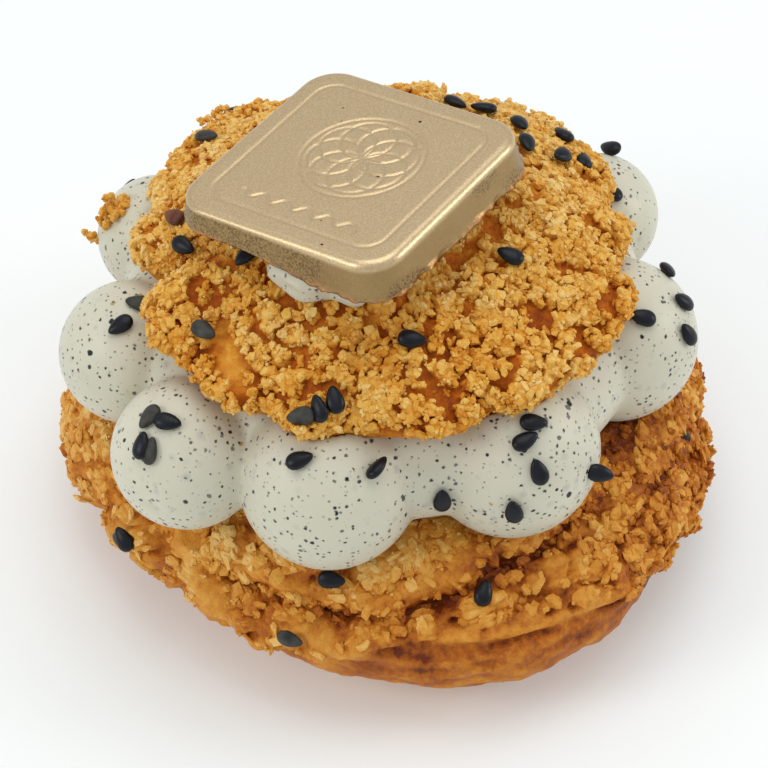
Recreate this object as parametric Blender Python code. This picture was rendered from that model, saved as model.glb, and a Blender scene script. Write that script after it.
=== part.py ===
# A choux bun: a crackled choux base, a ring of piped cream balls, a choux cap
# and a square chocolate plaque on a dab of cream, with black sesame seeds.
# The origin is the centre of the flat spot that the bun rests on, +Z is up and
# the front is at -Y. Bearings are degrees about +Z, 0 at +X and -90 in front.

import math

import bpy
import numpy as np
from mathutils import Matrix, Vector

MM = 0.001
GAP = 0.35 * MM                  # air left between two pieces that touch
SHARP_ANGLE = 50                 # steeper edges are shaded sharp

# choux base; a lobe is its height in mm, its number of waves and its bearing,
# and a notch is its bearing, its depth in mm and its spread
BASE_SIDES = 100
BASE_RADIUS = 36.9 * MM          # mean plan radius at its widest
BASE_LOBES = ((0.9, 1, -25), (0.8, 2, -12), (0.6, 3, -60))
BASE_NOTCHES = ((-135, 1.0, 9), (-70, -1.4, 15))
BASE_HEIGHT = 21.8 * MM
BASE_WIDEST_Z = 10.0 * MM
BASE_TOP_RADIUS = 25.0 * MM      # the flat that the cream is piped on
BASE_FOOT_RADIUS = 20.0 * MM     # the flat spot underneath
BASE_UNDER_ROWS = 9
BASE_SIDE_ROWS = 10
LIFT_BEARING = -140              # here the underside curls up higher
LIFT_SPREAD = 30
LIFT_OF_WIDEST = 2.2 * MM        # rise of the widest line there
LIFT_OF_FOOT = 3.8 * MM          # how far the foot draws in there

# the long crack round the front of the base: bearing, climb up the section
CRACK_PATH = ((-124, 22), (-109, 25), (-90, 28), (-80, 38), (-70, 51), (-45, 58))
CRACK_DEPTH = 1.3 * MM
CRACK_SPREAD = 7
CRACK_FADE = 8                   # degrees past its ends over which it dies out

# choux cap; a fold is given as a notch is
CAP_SIDES = 90
CAP_BOTTOM_Z = 36.7 * MM
CAP_RADIUS = 27.9 * MM
CAP_LOBES = ((1.1, 1, -97), (0.4, 2, 90), (0.4, 4, 45), (0.3, 14, 80))
CAP_NOTCHES = (
    (-165, 2.6, 6), (-117, 0.7, 4), (-108, -0.9, 7), (-98, 0.9, 5),
    (-66, 1.2, 5), (-48, 1.2, 5), (-7, 0.8, 8))
CAP_FOLDS = ((-165, 1.7, 7), (-136, 1.0, 8), (18, 0.8, 9))
CAP_FOLD_INNER = 0.45            # share of the radius where the folds begin
CAP_EDGE = 3.0 * MM              # height of the rounded edge under the widest line
CAP_TUCK = 1.7 * MM              # how far the underside's edge lies inside the widest line
CAP_DOME = 9.0 * MM              # rise of the dome above the widest line
CAP_DOME_POWER = 0.75            # 0.5 is an ellipse, more is flatter at the shoulder
CAP_EDGE_ROWS = 4
CAP_DOME_ROWS = 13
CAP_LAST_CLIMB = 83              # the last ring; a fan closes the top

# crumbly relief of both choux pieces
BASE_SEED = 3
CAP_SEED = 11
CRUMB_FADE = 0.6                 # how the relief dies out towards flat tops
CLUSTER_SIZE = 5.0 * MM
CLUSTER_RISE = 1.1 * MM
CLUSTER_EDGES = (0.38, 0.62)     # the noise between which a cluster rises
LUMP_SIZE = 2.8 * MM
LUMP_RISE = 0.8 * MM
SHOULDER_START = 0.25            # share of the shoulder over which its crumbs begin
RIM_ROOM = 2.2 * MM              # beyond the cap's widest line the cream is free to rise
CRUMB_ROOM = 1.0 * MM            # more air beside the crumbly shoulder and rim

# cream balls: bearing, distance from the axis, height of the middle, radius, in mm
CREAM_BALLS = (
    (-10, 26.8, 28.6, 9.4), (31, 29.3, 29.6, 7.4), (62, 27.8, 29.4, 7.6),
    (94, 27.4, 29.4, 7.7), (126, 27.6, 29.4, 7.5), (157, 28.6, 29.8, 7.3),
    (-166, 29.5, 29.0, 8.2), (-134, 31.0, 28.6, 8.4), (-103, 26.5, 28.3, 9.9),
    (-57, 25.5, 28.5, 9.9))
CREAM_SIDES = 96
CREAM_ROWS = 15
CREAM_HEART_RADIUS = 22.0 * MM   # the arcs of a section start from this line
CREAM_CORE_RADIUS = 22.5 * MM    # ring of cream behind the balls
CREAM_CORE_SIZE = 7.6 * MM
CREAM_MIDDLE = (BASE_HEIGHT + CAP_BOTTOM_Z) / 2
CREAM_BLEND = 0.7 * MM           # how softly neighbouring balls run together
CREAM_REACH = 20.0 * MM          # no cream is farther from the heart line
CREAM_STEPS = 80                 # the arcs are found to this part of the reach

# chocolate plaque on its dab
PLAQUE_SIDE = 28.0 * MM
PLAQUE_THICKNESS = 4.7 * MM
PLAQUE_CORNER = 4.2 * MM
PLAQUE_EDGE = 1.0 * MM           # rounding of the top edge
PLAQUE_DRAFT = 0.5 * MM          # how far each side spreads towards the bottom
PLAQUE_CENTRE = Vector((-3.7, -4.1, 54.8)) * MM      # middle of the top face
PLAQUE_NORMAL = Vector((-0.13, 0.085, 0.988)).normalized()
PLAQUE_BEARING = -35.5           # of the side nearest the front
PLAQUE_CORNER_STEPS = 6
PLAQUE_EDGE_STEPS = 3
DAB_CENTRE = (-4.5 * MM, -11.0 * MM)
DAB_RADIUS = 7.8 * MM
DAB_LOBES = ((0.5, 3, -20), (0.3, 5, 0))
DAB_ROOM = 0.7 * MM              # air under the dab, which clears the crumbs
DAB_SIDES = 28
DAB_SECTION = ((0.3, 0.0), (0.6, 0.0), (0.9, 0.0), (1.0, 0.35), (1.0, 0.7), (0.9, 1.0))  # reach, level

# sesame seeds, sunk a little into what they lie on
SEED_LENGTH = 3.1 * MM
SEED_WIDTH = 1.95 * MM
SEED_THICKNESS = 1.1 * MM
SEED_SUNK = 0.15 * MM
SEED_SIDES = 5
SEED_SECTIONS = ((-0.7, 0.7), (0.1, 1.0), (0.75, 0.55))          # along, share of the width
# bearing, climb up the section, turn of the sharp end from uphill, in degrees
BASE_SEEDS = (
    (-144, 10, 80), (-100, 47, -90), (-107, 9, -90), (-72, 42, -25), (-12, 28, 15),
    (38, 25, 30), (80, 8, 80), (122, 32, -40), (162, 12, 110))
CREAM_SEEDS = (
    (-164, 51, 80), (-160, 39, 140), (-136, 28, -160), (-131, 28, -80), (-134, 19, 0), (-106, 36, -45),
    (-92, 35, -70), (-78, 0, 0), (-60, 44, -115), (-60, 34, -75), (-60, 20, 8), (-66, 1, 10),
    (-47, 2, -120), (-18, 42, 55), (-9, 26, 15), (-14, 17, 10), (-1, 30, 60), (33, 30, -125),
    (60, 28, 40), (92, 12, -60), (124, 34, 100), (150, 10, 20))
CAP_SEEDS = (
    (143, 17, 20), (-178, 32, 125), (-169, 30, -85), (-147, 50, 160), (-138, 25, -95), (-82, 42, -95),
    (-101, 19, 5), (-105, 15, 10), (-108, 10, -75), (-38, 53, 35), (66, 41, 80), (57, 38, -80),
    (40, 42, 50), (28, 49, 75), (24, 37, 40), (34, 26, -100), (25, 14, -110), (96, 24, 60), (118, 44, -30))

# colour, roughness, metallic
FINISHES = {
    "choux_base": ((0.40, 0.17, 0.035), 0.62, 0.0),
    "choux_cap": ((0.53, 0.24, 0.04), 0.60, 0.0),
    "cream_filling": ((0.56, 0.57, 0.50), 0.42, 0.0),
    "cream_dab": ((0.60, 0.59, 0.52), 0.42, 0.0),
    "chocolate_plaque": ((0.42, 0.31, 0.17), 0.34, 0.85),
}


def lattice_value(i, j, k, seed):
    # a repeatable number from 0 to 1 for each point of a whole-numbered lattice
    n = (i * 73856093) ^ (j * 19349663) ^ (k * 83492791) ^ (seed * 26544357)
    n = (n ^ (n >> 13)) * 1274126177
    return ((n ^ (n >> 16)) & 0xFFFF) / 0xFFFF


def soft_noise(points, size, seed):
    # smooth noise from 0 to 1, one blob to about each cube of the given size
    scaled = points / size
    cell = np.floor(scaled).astype(np.int64)
    part = scaled - cell
    part = part * part * (3 - 2 * part)
    total = 0.0
    for corner in np.ndindex(2, 2, 2):
        weight = np.prod(np.where(np.array(corner) == 1, part, 1 - part), axis=-1)
        i, j, k = np.moveaxis(cell + np.array(corner), -1, 0)
        total = total + weight * lattice_value(i, j, k, seed)
    return total


def turn_between(bearings, centre):
    # degrees from a bearing, from -180 to 180
    return (bearings - centre + 180) % 360 - 180


def bump(bearings, centre, spread):
    # 1 at the centre bearing, falling to 0 on both sides
    return np.exp(-(turn_between(bearings, centre) / spread) ** 2)


def lobed(bearings, lobes):
    # sum of waves round the axis, in metres
    waves = [height * np.cos(np.radians(count * (bearings - phase))) for height, count, phase in lobes]
    return sum(waves) * MM


def notched(bearings, notches):
    # sum of dents at single bearings, in metres
    return sum(depth * bump(bearings, centre, spread) for centre, depth, spread in notches) * MM


def base_plan(bearings):
    return BASE_RADIUS + lobed(bearings, BASE_LOBES) - notched(bearings, BASE_NOTCHES)


def cap_plan(bearings):
    return CAP_RADIUS + lobed(bearings, CAP_LOBES) - notched(bearings, CAP_NOTCHES)


def on_bearings(bearings, reach, height):
    # points at a distance from the axis and a height, one row for each height
    angles = np.radians(bearings)
    return np.stack([reach * np.cos(angles), reach * np.sin(angles), height + 0 * reach], axis=-1)


def grid_normals(points):
    # outward unit normals of a grid whose rows climb and whose columns turn left
    across = np.roll(points, -1, axis=1) - np.roll(points, 1, axis=1)
    upward = np.gradient(points, axis=0)
    normals = np.cross(across, upward)
    return normals / np.maximum(np.linalg.norm(normals, axis=-1, keepdims=True), 1e-12)


def crumb_relief(points, seed):
    # flat islands of crumbs with bare crust between them, lumpy all over
    low, high = CLUSTER_EDGES
    islands = np.clip((soft_noise(points, CLUSTER_SIZE, seed) - low) / (high - low), 0, 1)
    return islands * CLUSTER_RISE + soft_noise(points, LUMP_SIZE, seed + 1) * LUMP_RISE


def crack_groove(bearings, climbs):
    path = np.array(CRACK_PATH)
    middle = np.interp(bearings, path[:, 0], path[:, 1])
    beyond = np.maximum(path[0, 0] - bearings, bearings - path[-1, 0]).clip(0)
    return CRACK_DEPTH * np.exp(-((climbs - middle) / CRACK_SPREAD) ** 2 - (beyond / CRACK_FADE) ** 2)


def base_grid(bearings, climbs):
    # a section climbs from the foot at -90 degrees out to the widest line at 0
    # and in to the flat top at 90
    widest = base_plan(bearings)
    lift = bump(bearings, LIFT_BEARING, LIFT_SPREAD)
    slope = np.radians(climbs)[:, None]
    under = slope < 0
    widest_z = BASE_WIDEST_Z + LIFT_OF_WIDEST * lift
    inner = np.where(under, BASE_FOOT_RADIUS - LIFT_OF_FOOT * lift, BASE_TOP_RADIUS)
    reach = inner + (widest - inner) * np.cos(slope)
    height = widest_z + np.where(under, widest_z, BASE_HEIGHT - widest_z) * np.sin(slope)
    points = on_bearings(bearings, reach, height)
    relief = crumb_relief(points, BASE_SEED) - CLUSTER_RISE / 2 - crack_groove(bearings, climbs[:, None])
    points = points + grid_normals(points) * (relief * np.cos(slope) ** CRUMB_FADE)[..., None]
    points[0, :, 2] = 0
    points[-1, :, 2] = BASE_HEIGHT
    points[..., 2] = np.clip(points[..., 2], 0, BASE_HEIGHT)
    return points


def dome_height(reach, plan):
    # height of the cap's smooth dome at a distance from the axis
    inside = np.clip(1 - (reach / plan) ** 2, 0, 1)
    return CAP_BOTTOM_Z + CAP_EDGE + CAP_DOME * inside ** CAP_DOME_POWER


def cap_grid(bearings, climbs):
    # a section climbs round the rim from -90 degrees to the widest line at 0
    # and over the dome almost to the axis, which is at 90
    plan = cap_plan(bearings)
    slope = np.radians(climbs)[:, None]
    rim = slope < 0
    reach = np.where(rim, plan - CAP_TUCK * (1 - np.cos(slope)), plan * np.cos(slope))
    height = np.where(rim, CAP_BOTTOM_Z + CAP_EDGE * (1 + np.sin(slope)), dome_height(reach, plan))
    points = on_bearings(bearings, reach, height)
    outer = np.clip((reach / plan - CAP_FOLD_INNER) * 2, 0, 1)
    relief = crumb_relief(points, CAP_SEED) - notched(bearings, CAP_FOLDS) * outer
    fade = np.where(rim, 1 + np.sin(slope), np.cos(slope) ** CRUMB_FADE)
    points = points + grid_normals(points) * (relief * fade)[..., None]
    points[0, :, 2] = CAP_BOTTOM_Z
    points[..., 2] = np.maximum(points[..., 2], CAP_BOTTOM_Z)
    return points


def inside_cream(points):
    # below 0 inside the balls and the ring behind them, which blend softly
    sizes = [np.linalg.norm(points - centre, axis=-1) - radius for centre, radius in ball_places()]
    flat = np.linalg.norm(points[..., :2], axis=-1) - CREAM_CORE_RADIUS
    sizes.append(np.hypot(flat, points[..., 2] - CREAM_MIDDLE) - CREAM_CORE_SIZE)
    return -CREAM_BLEND * np.log(sum(np.exp(-size / CREAM_BLEND) for size in sizes))


def ball_places():
    for bearing, reach, height, radius in CREAM_BALLS:
        angle = math.radians(bearing)
        centre = np.array([reach * math.cos(angle), reach * math.sin(angle), height]) * MM
        yield centre, radius * MM


def cream_grid(bearings, climbs):
    # a section is the arc that rays from the heart line reach inside the cream
    slope = np.radians(climbs)[:, None]
    outward = on_bearings(bearings, np.cos(slope) + 0 * bearings, np.sin(slope))
    start = on_bearings(bearings, CREAM_HEART_RADIUS + 0 * bearings, CREAM_MIDDLE)
    length = np.zeros(outward.shape[:2])
    step = CREAM_REACH / CREAM_STEPS
    growing = np.ones(length.shape, bool)
    for count in range(1, CREAM_STEPS + 1):
        here = start + outward * (count * step)
        growing &= (inside_cream(here) < 0) & clear_of_choux(here)
        length = np.where(growing, count * step, length)
    return start + outward * length[..., None]


def clear_of_choux(points):
    # above the base's flat and shoulder, and below the cap's underside and rim
    reach = np.linalg.norm(points[..., :2], axis=-1)
    bearings = np.degrees(np.arctan2(points[..., 1], points[..., 0]))
    over = np.clip((reach - BASE_TOP_RADIUS) / (base_plan(bearings) - BASE_TOP_RADIUS), 0, 1)
    shoulder = BASE_WIDEST_Z + (BASE_HEIGHT - BASE_WIDEST_Z) * np.sqrt(1 - over ** 2)
    floor = shoulder + GAP + CRUMB_ROOM * np.clip(over / SHOULDER_START, 0, 1)
    past_tuck = np.clip((reach - cap_plan(bearings)) / CAP_TUCK + 1, 0, 1)
    rim = CAP_BOTTOM_Z + CAP_EDGE * (1 - np.sqrt(1 - past_tuck ** 2))
    ceiling = rim - GAP - CRUMB_ROOM * past_tuck
    return (points[..., 2] > floor) & ((points[..., 2] < ceiling) | (reach > cap_plan(bearings) + RIM_ROOM))


def all_round(sides):
    return np.arange(sides) * 360 / sides - 180


def two_spans(low_rows, high_rows, last):
    # climbs from -90 to 0 and on to the last one, with their own spacing
    return np.concatenate([np.linspace(-90, 0, low_rows, endpoint=False), np.linspace(0, last, high_rows)])


def solid_from_grid(name, points, pole=None):
    # closes a grid of rings with a flat face at the bottom and at the top, or
    # with a fan to the pole
    rows, sides = points.shape[:2]
    vertices = points.reshape(-1, 3).tolist()
    faces = [list(range(sides))[::-1]]
    for row in range(rows - 1):
        for side in range(sides):
            low = row * sides + side
            beside = row * sides + (side + 1) % sides
            faces.append([low, beside, beside + sides, low + sides])
    top = (rows - 1) * sides
    if pole is None:
        faces.append([top + side for side in range(sides)])
    else:
        vertices.append(list(pole))
        faces += [[top + side, top + (side + 1) % sides, len(vertices) - 1] for side in range(sides)]
    return add_object(name, vertices, faces)


def add_object(name, vertices, faces):
    mesh = bpy.data.meshes.new(name)
    mesh.from_pydata(vertices, [], faces)
    mesh.validate()
    mesh.shade_smooth()
    mesh.set_sharp_from_angle(angle=math.radians(SHARP_ANGLE))
    obj = bpy.data.objects.new(name, mesh)
    bpy.context.scene.collection.objects.link(obj)
    return obj


def rounded_square(half, corner):
    # outline of a square with round corners, counterclockwise
    outline = []
    for quarter in range(4):
        middle = math.radians(90 * quarter + 45)
        centre = Vector((math.cos(middle), math.sin(middle))) * (half - corner) * math.sqrt(2)
        for step in range(PLAQUE_CORNER_STEPS + 1):
            angle = math.radians(90 * quarter + 90 * step / PLAQUE_CORNER_STEPS)
            outline.append(centre + Vector((math.cos(angle), math.sin(angle))) * corner)
    return outline


def plaque_matrix():
    # the top face's middle, with X along the side nearest the front
    heading = Vector((math.cos(math.radians(PLAQUE_BEARING)), math.sin(math.radians(PLAQUE_BEARING)), 0))
    side = (heading - PLAQUE_NORMAL * heading.dot(PLAQUE_NORMAL)).normalized()
    turned = Matrix((side, PLAQUE_NORMAL.cross(side), PLAQUE_NORMAL)).transposed()
    return Matrix.Translation(PLAQUE_CENTRE) @ turned.to_4x4()


def plaque_underside(x, y):
    # height of the plaque's bottom plane over a point of the plan
    foot = PLAQUE_CENTRE - PLAQUE_NORMAL * PLAQUE_THICKNESS
    return foot.z - (PLAQUE_NORMAL.x * (x - foot.x) + PLAQUE_NORMAL.y * (y - foot.y)) / PLAQUE_NORMAL.z


def add_plaque():
    levels = [(-PLAQUE_THICKNESS, PLAQUE_DRAFT), (-PLAQUE_EDGE, 0.0)]
    for step in range(1, PLAQUE_EDGE_STEPS + 1):
        angle = math.radians(90 * step / PLAQUE_EDGE_STEPS)
        levels.append((PLAQUE_EDGE * (math.sin(angle) - 1), PLAQUE_EDGE * (math.cos(angle) - 1)))
    rings = []
    for z, spread in levels:
        outline = rounded_square(PLAQUE_SIDE / 2 + spread, PLAQUE_CORNER + spread)
        rings.append([(point.x, point.y, z) for point in outline])
    plaque = solid_from_grid("chocolate_plaque", np.array(rings))
    plaque.matrix_world = plaque_matrix()
    return plaque


def cap_top(x, y):
    # height of the cap's crumbly surface over a point of the plan
    reach = np.hypot(x, y)
    plan = cap_plan(np.degrees(np.arctan2(y, x)))
    smooth = np.stack([x, y, dome_height(reach, plan)], axis=-1)
    return smooth[..., 2] + crumb_relief(smooth, CAP_SEED) * (reach / plan) ** CRUMB_FADE


def add_dab():
    # a squashed blob whose bottom follows the dome and whose top is the plaque's
    bearings = all_round(DAB_SIDES)
    angles = np.radians(bearings)
    outline = DAB_RADIUS + lobed(bearings, DAB_LOBES)
    rings = []
    for share, level in DAB_SECTION:
        x = DAB_CENTRE[0] + share * outline * np.cos(angles)
        y = DAB_CENTRE[1] + share * outline * np.sin(angles)
        low = cap_top(x, y) + DAB_ROOM
        high = plaque_underside(x, y) - GAP
        rings.append(np.stack([x, y, low + (high - low) * level], axis=-1))
    return solid_from_grid("cream_dab", np.array(rings))


def add_seed(point, normal, turn):
    # a flat drop with a sharper end, lying on the surface
    seed = bpy.data.objects.new("seed", seed_mesh())
    upward = Vector((0, 0, 1)) - normal * normal.z
    lying = Matrix((upward.normalized(), normal.cross(upward.normalized()), normal)).transposed()
    turned = lying @ Matrix.Rotation(math.radians(turn), 3, "Z")
    middle = point + normal * (SEED_THICKNESS / 2 - SEED_SUNK)
    seed.matrix_world = Matrix.Translation(middle) @ turned.to_4x4()
    return seed


def seed_mesh():
    vertices = [(-SEED_LENGTH / 2, 0, 0)]
    for along, share in SEED_SECTIONS:
        for side in range(SEED_SIDES):
            angle = math.radians(360 * side / SEED_SIDES + 90)
            y = math.cos(angle) * SEED_WIDTH / 2 * share
            z = math.sin(angle) * SEED_THICKNESS / 2 * share
            vertices.append((along * SEED_LENGTH / 2, y, z))
    vertices.append((SEED_LENGTH / 2, 0, 0))
    last = len(vertices) - 1
    faces = []
    for side in range(SEED_SIDES):
        beside = (side + 1) % SEED_SIDES
        faces.append([0, 1 + beside, 1 + side])
        for ring in range(len(SEED_SECTIONS) - 1):
            low = 1 + ring * SEED_SIDES
            faces.append([low + side, low + beside, low + beside + SEED_SIDES, low + side + SEED_SIDES])
        top = last - SEED_SIDES
        faces.append([top + side, top + beside, last])
    mesh = bpy.data.meshes.new("seed")
    mesh.from_pydata(vertices, [], faces)
    return mesh


def between(grid, climbs, bearing, climb):
    # the grid's value at a bearing and a climb, mixed from the four around it
    rows, sides = grid.shape[:2]
    row, up = divmod(float(np.interp(climb, climbs, np.arange(rows))), 1)
    side, along = divmod((bearing + 180) / 360 * sides, 1)
    row, side = int(row), int(side)
    low = grid[row, side % sides] * (1 - along) + grid[row, (side + 1) % sides] * along
    above = min(row + 1, rows - 1)
    high = grid[above, side % sides] * (1 - along) + grid[above, (side + 1) % sides] * along
    return Vector(low * (1 - up) + high * up)


def fuse_seeds(host, grid, climbs, seeds):
    # joins the seeds to the surface they lie on with one Boolean union
    if not seeds:
        return
    normals = grid_normals(grid)
    group = bpy.data.collections.new("seeds")
    bpy.context.scene.collection.children.link(group)
    for bearing, climb, turn in seeds:
        normal = between(normals, climbs, bearing, climb).normalized()
        group.objects.link(add_seed(between(grid, climbs, bearing, climb), normal, turn))
    union = host.modifiers.new("seeds", "BOOLEAN")
    union.operation = "UNION"
    union.operand_type = "COLLECTION"
    union.collection = group
    union.solver = "EXACT"
    fused = bpy.data.meshes.new_from_object(host.evaluated_get(bpy.context.evaluated_depsgraph_get()))
    host.modifiers.remove(union)
    host.data = fused
    for seed in list(group.objects):
        bpy.data.objects.remove(seed)
    bpy.data.collections.remove(group)


def add_finish(obj):
    colour, roughness, metallic = FINISHES[obj.name]
    material = bpy.data.materials.new(obj.name)
    material.use_nodes = True
    shader = material.node_tree.nodes["Principled BSDF"]
    shader.inputs["Base Color"].default_value = (*colour, 1)
    shader.inputs["Roughness"].default_value = roughness
    shader.inputs["Metallic"].default_value = metallic
    material.diffuse_color = (*colour, 1)
    obj.data.materials.clear()
    obj.data.materials.append(material)


def clear_scene():
    for obj in list(bpy.data.objects):
        bpy.data.objects.remove(obj)


def build_bun():
    clear_scene()
    climbs = two_spans(BASE_UNDER_ROWS, BASE_SIDE_ROWS, 90)
    grid = base_grid(all_round(BASE_SIDES), climbs)
    base = solid_from_grid("choux_base", grid)
    fuse_seeds(base, grid, climbs, BASE_SEEDS)
    climbs = np.linspace(-90, 90, CREAM_ROWS)
    grid = cream_grid(all_round(CREAM_SIDES), climbs)
    cream = solid_from_grid("cream_filling", grid)
    fuse_seeds(cream, grid, climbs, CREAM_SEEDS)
    climbs = two_spans(CAP_EDGE_ROWS, CAP_DOME_ROWS, CAP_LAST_CLIMB)
    grid = cap_grid(all_round(CAP_SIDES), climbs)
    cap = solid_from_grid("choux_cap", grid, pole=(0, 0, grid[-1, :, 2].mean()))
    fuse_seeds(cap, grid, climbs, CAP_SEEDS)
    for obj in (base, cream, cap, add_dab(), add_plaque()):
        add_finish(obj)


build_bun()
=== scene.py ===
# A choux bun with a crackled biscuit crust, a ring of piped black sesame cream and a
# lustred chocolate square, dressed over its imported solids.
# Lengths are millimetres up to the mesh. Bearings are degrees about +Z, 0 at +X and -90
# in front. A climb is degrees up a piece's section, 0 at its widest line and 90 at its top.

import math

import bmesh
import bpy
import numpy as np
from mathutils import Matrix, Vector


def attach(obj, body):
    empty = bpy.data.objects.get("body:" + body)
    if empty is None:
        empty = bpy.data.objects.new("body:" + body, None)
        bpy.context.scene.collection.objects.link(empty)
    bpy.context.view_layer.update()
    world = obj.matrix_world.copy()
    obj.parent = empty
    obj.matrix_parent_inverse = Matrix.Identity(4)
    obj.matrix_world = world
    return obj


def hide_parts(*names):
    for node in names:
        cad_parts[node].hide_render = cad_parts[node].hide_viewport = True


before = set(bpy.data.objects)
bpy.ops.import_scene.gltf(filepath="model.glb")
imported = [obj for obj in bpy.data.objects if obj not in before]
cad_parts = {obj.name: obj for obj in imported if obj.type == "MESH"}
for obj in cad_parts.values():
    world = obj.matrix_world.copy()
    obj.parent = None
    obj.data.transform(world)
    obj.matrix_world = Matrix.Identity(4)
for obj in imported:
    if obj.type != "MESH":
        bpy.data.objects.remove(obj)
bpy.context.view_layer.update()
mm = 0.001
print("frame loaded:", ", ".join(sorted(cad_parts)))


# repeatable noise

def latticeValue(i, j, k, seed):
    # a number from 0 to 1 for each point of a whole-numbered lattice
    n = (i * 73856093) ^ (j * 19349663) ^ (k * 83492791) ^ (seed * 26544357)
    n = (n ^ (n >> 13)) * 1274126177
    return ((n ^ (n >> 16)) & 0xFFFF) / 0xFFFF


def softNoise(points, size, seed):
    # lattice values at the corners of cubes of this size, mixed by 3t^2 - 2t^3
    scaled = points / size
    cell = np.floor(scaled).astype(np.int64)
    part = scaled - cell
    part = part * part * (3 - 2 * part)
    total = 0.0
    for corner in np.ndindex(2, 2, 2):
        weight = np.prod(np.where(np.array(corner) == 1, part, 1 - part), axis=-1)
        i, j, k = np.moveaxis(cell + np.array(corner), -1, 0)
        total = total + weight * latticeValue(i, j, k, seed)
    return total


def grainNoise(points, size, seed, octaves=3):
    # soft noise plus half as much at half the size, and so on, kept from 0 to 1
    total, weight = 0.0, 0.0
    for octave in range(octaves):
        share = 0.5 ** octave
        total = total + share * softNoise(points, size * share, seed + 7 * octave)
        weight += share
    return total / weight


def warped(points, size, amount, seed):
    # points pushed about by three soft noises, so that a pattern on them is uneven
    push = np.stack([softNoise(points, size, seed + axis) for axis in range(3)], axis=-1)
    return points + (push - 0.5) * (2 * amount)


def cellNoise(points, size, seed):
    # one scattered point to a cube of this size: distance to the nearest, how much
    # farther the second is, both as shares of the size, and the nearest one's own value
    scaled = points / size
    cell = np.floor(scaled).astype(np.int64)
    nearest = np.full(scaled.shape[:-1], 9.0)
    second = nearest.copy()
    own = np.zeros(nearest.shape)
    for offset in np.ndindex(3, 3, 3):
        there = cell + np.array(offset) - 1
        i, j, k = np.moveaxis(there, -1, 0)
        jitter = np.stack([latticeValue(i, j, k, seed + axis) for axis in range(3)], axis=-1)
        distance = np.linalg.norm(there + jitter - scaled, axis=-1)
        closer = distance < nearest
        second = np.where(closer, nearest, np.minimum(second, distance))
        own = np.where(closer, latticeValue(i, j, k, seed + 3), own)
        nearest = np.where(closer, distance, nearest)
    return nearest, second - nearest, own


def smoothStep(values, low, high):
    part = np.clip((values - low) / (high - low), 0, 1)
    return part * part * (3 - 2 * part)


# shapes round the axis, as the solids have them

def turnBetween(bearings, centre):
    return (bearings - centre + 180) % 360 - 180


def bump(bearings, centre, spread):
    # exp(-(turn / spread)^2)
    return np.exp(-(turnBetween(bearings, centre) / spread) ** 2)


def lobed(bearings, lobes):
    # sum of height * cos(count * (bearing - phase))
    return sum(height * np.cos(np.radians(count * (bearings - phase))) for height, count, phase in lobes)


def notched(bearings, notches):
    # sum of depth * bump
    return sum(depth * bump(bearings, centre, spread) for centre, depth, spread in notches)


def onBearings(bearings, reach, height):
    angles = np.radians(bearings)
    return np.stack([reach * np.cos(angles), reach * np.sin(angles), height + 0 * reach], axis=-1)


def gridNormals(points):
    # cross product of the steps along a row and up a column
    across = np.roll(points, -1, axis=1) - np.roll(points, 1, axis=1)
    normals = np.cross(across, np.gradient(points, axis=0))
    return normals / np.maximum(np.linalg.norm(normals, axis=-1, keepdims=True), 1e-9)


def allRound(sides):
    return np.arange(sides) * 360 / sides - 180


def between(grid, climbs, bearing, climb):
    # the grid's value at a bearing and a climb, mixed from the four around it
    rows, sides = grid.shape[:2]
    row, up = divmod(float(np.interp(climb, climbs, np.arange(rows))), 1)
    side, along = divmod((bearing + 180) / 360 * sides, 1)
    row, side = int(row), int(side)
    above, beside = min(row + 1, rows - 1), (side + 1) % sides
    low = grid[row, side % sides] * (1 - along) + grid[row, beside] * along
    high = grid[above, side % sides] * (1 - along) + grid[above, beside] * along
    return low * (1 - up) + high * up


def strokeTo(bearings, climbs, path, width):
    # exp(-(distance / width)^2) to a line of (bearing, climb) points, which dies out past its ends
    path = np.array(path, float)
    middle = np.interp(bearings, path[:, 0], path[:, 1])
    slope = np.interp(bearings, path[:, 0], np.gradient(path[:, 1], path[:, 0]))
    beyond = np.clip(np.maximum(path[0, 0] - bearings, bearings - path[-1, 0]), 0, None)
    away = (climbs - middle) / np.sqrt(1 + slope ** 2)
    return np.exp(-(away / width) ** 2 - (beyond / width) ** 2)


# meshes from arrays

def addPiece(name, points, faces, material, values=None):
    # faces is a list of index arrays, each of triangles or of quads
    corners = np.concatenate([part.ravel() for part in faces]).astype(np.int32)
    sizes = np.concatenate([np.full(len(part), part.shape[1]) for part in faces])
    starts = np.concatenate([[0], np.cumsum(sizes)[:-1]]).astype(np.int32)
    mesh = bpy.data.meshes.new(name)
    mesh.vertices.add(len(points))
    mesh.vertices.foreach_set("co", (points * mm).astype(np.float32).ravel())
    mesh.loops.add(len(corners))
    mesh.loops.foreach_set("vertex_index", corners)
    mesh.polygons.add(len(starts))
    mesh.polygons.foreach_set("loop_start", starts)
    mesh.update(calc_edges=True)
    mesh.validate()
    mesh.shade_smooth()
    for label, value in (values or {}).items():
        layer = mesh.attributes.new(label, "FLOAT", "POINT")
        layer.data.foreach_set("value", np.asarray(value, np.float32).ravel())
    mesh.materials.append(material)
    piece = bpy.data.objects.new(name, mesh)
    bpy.context.scene.collection.objects.link(piece)
    print("%s: %d triangles" % (name, int((sizes - 2).sum())))
    return piece


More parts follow.
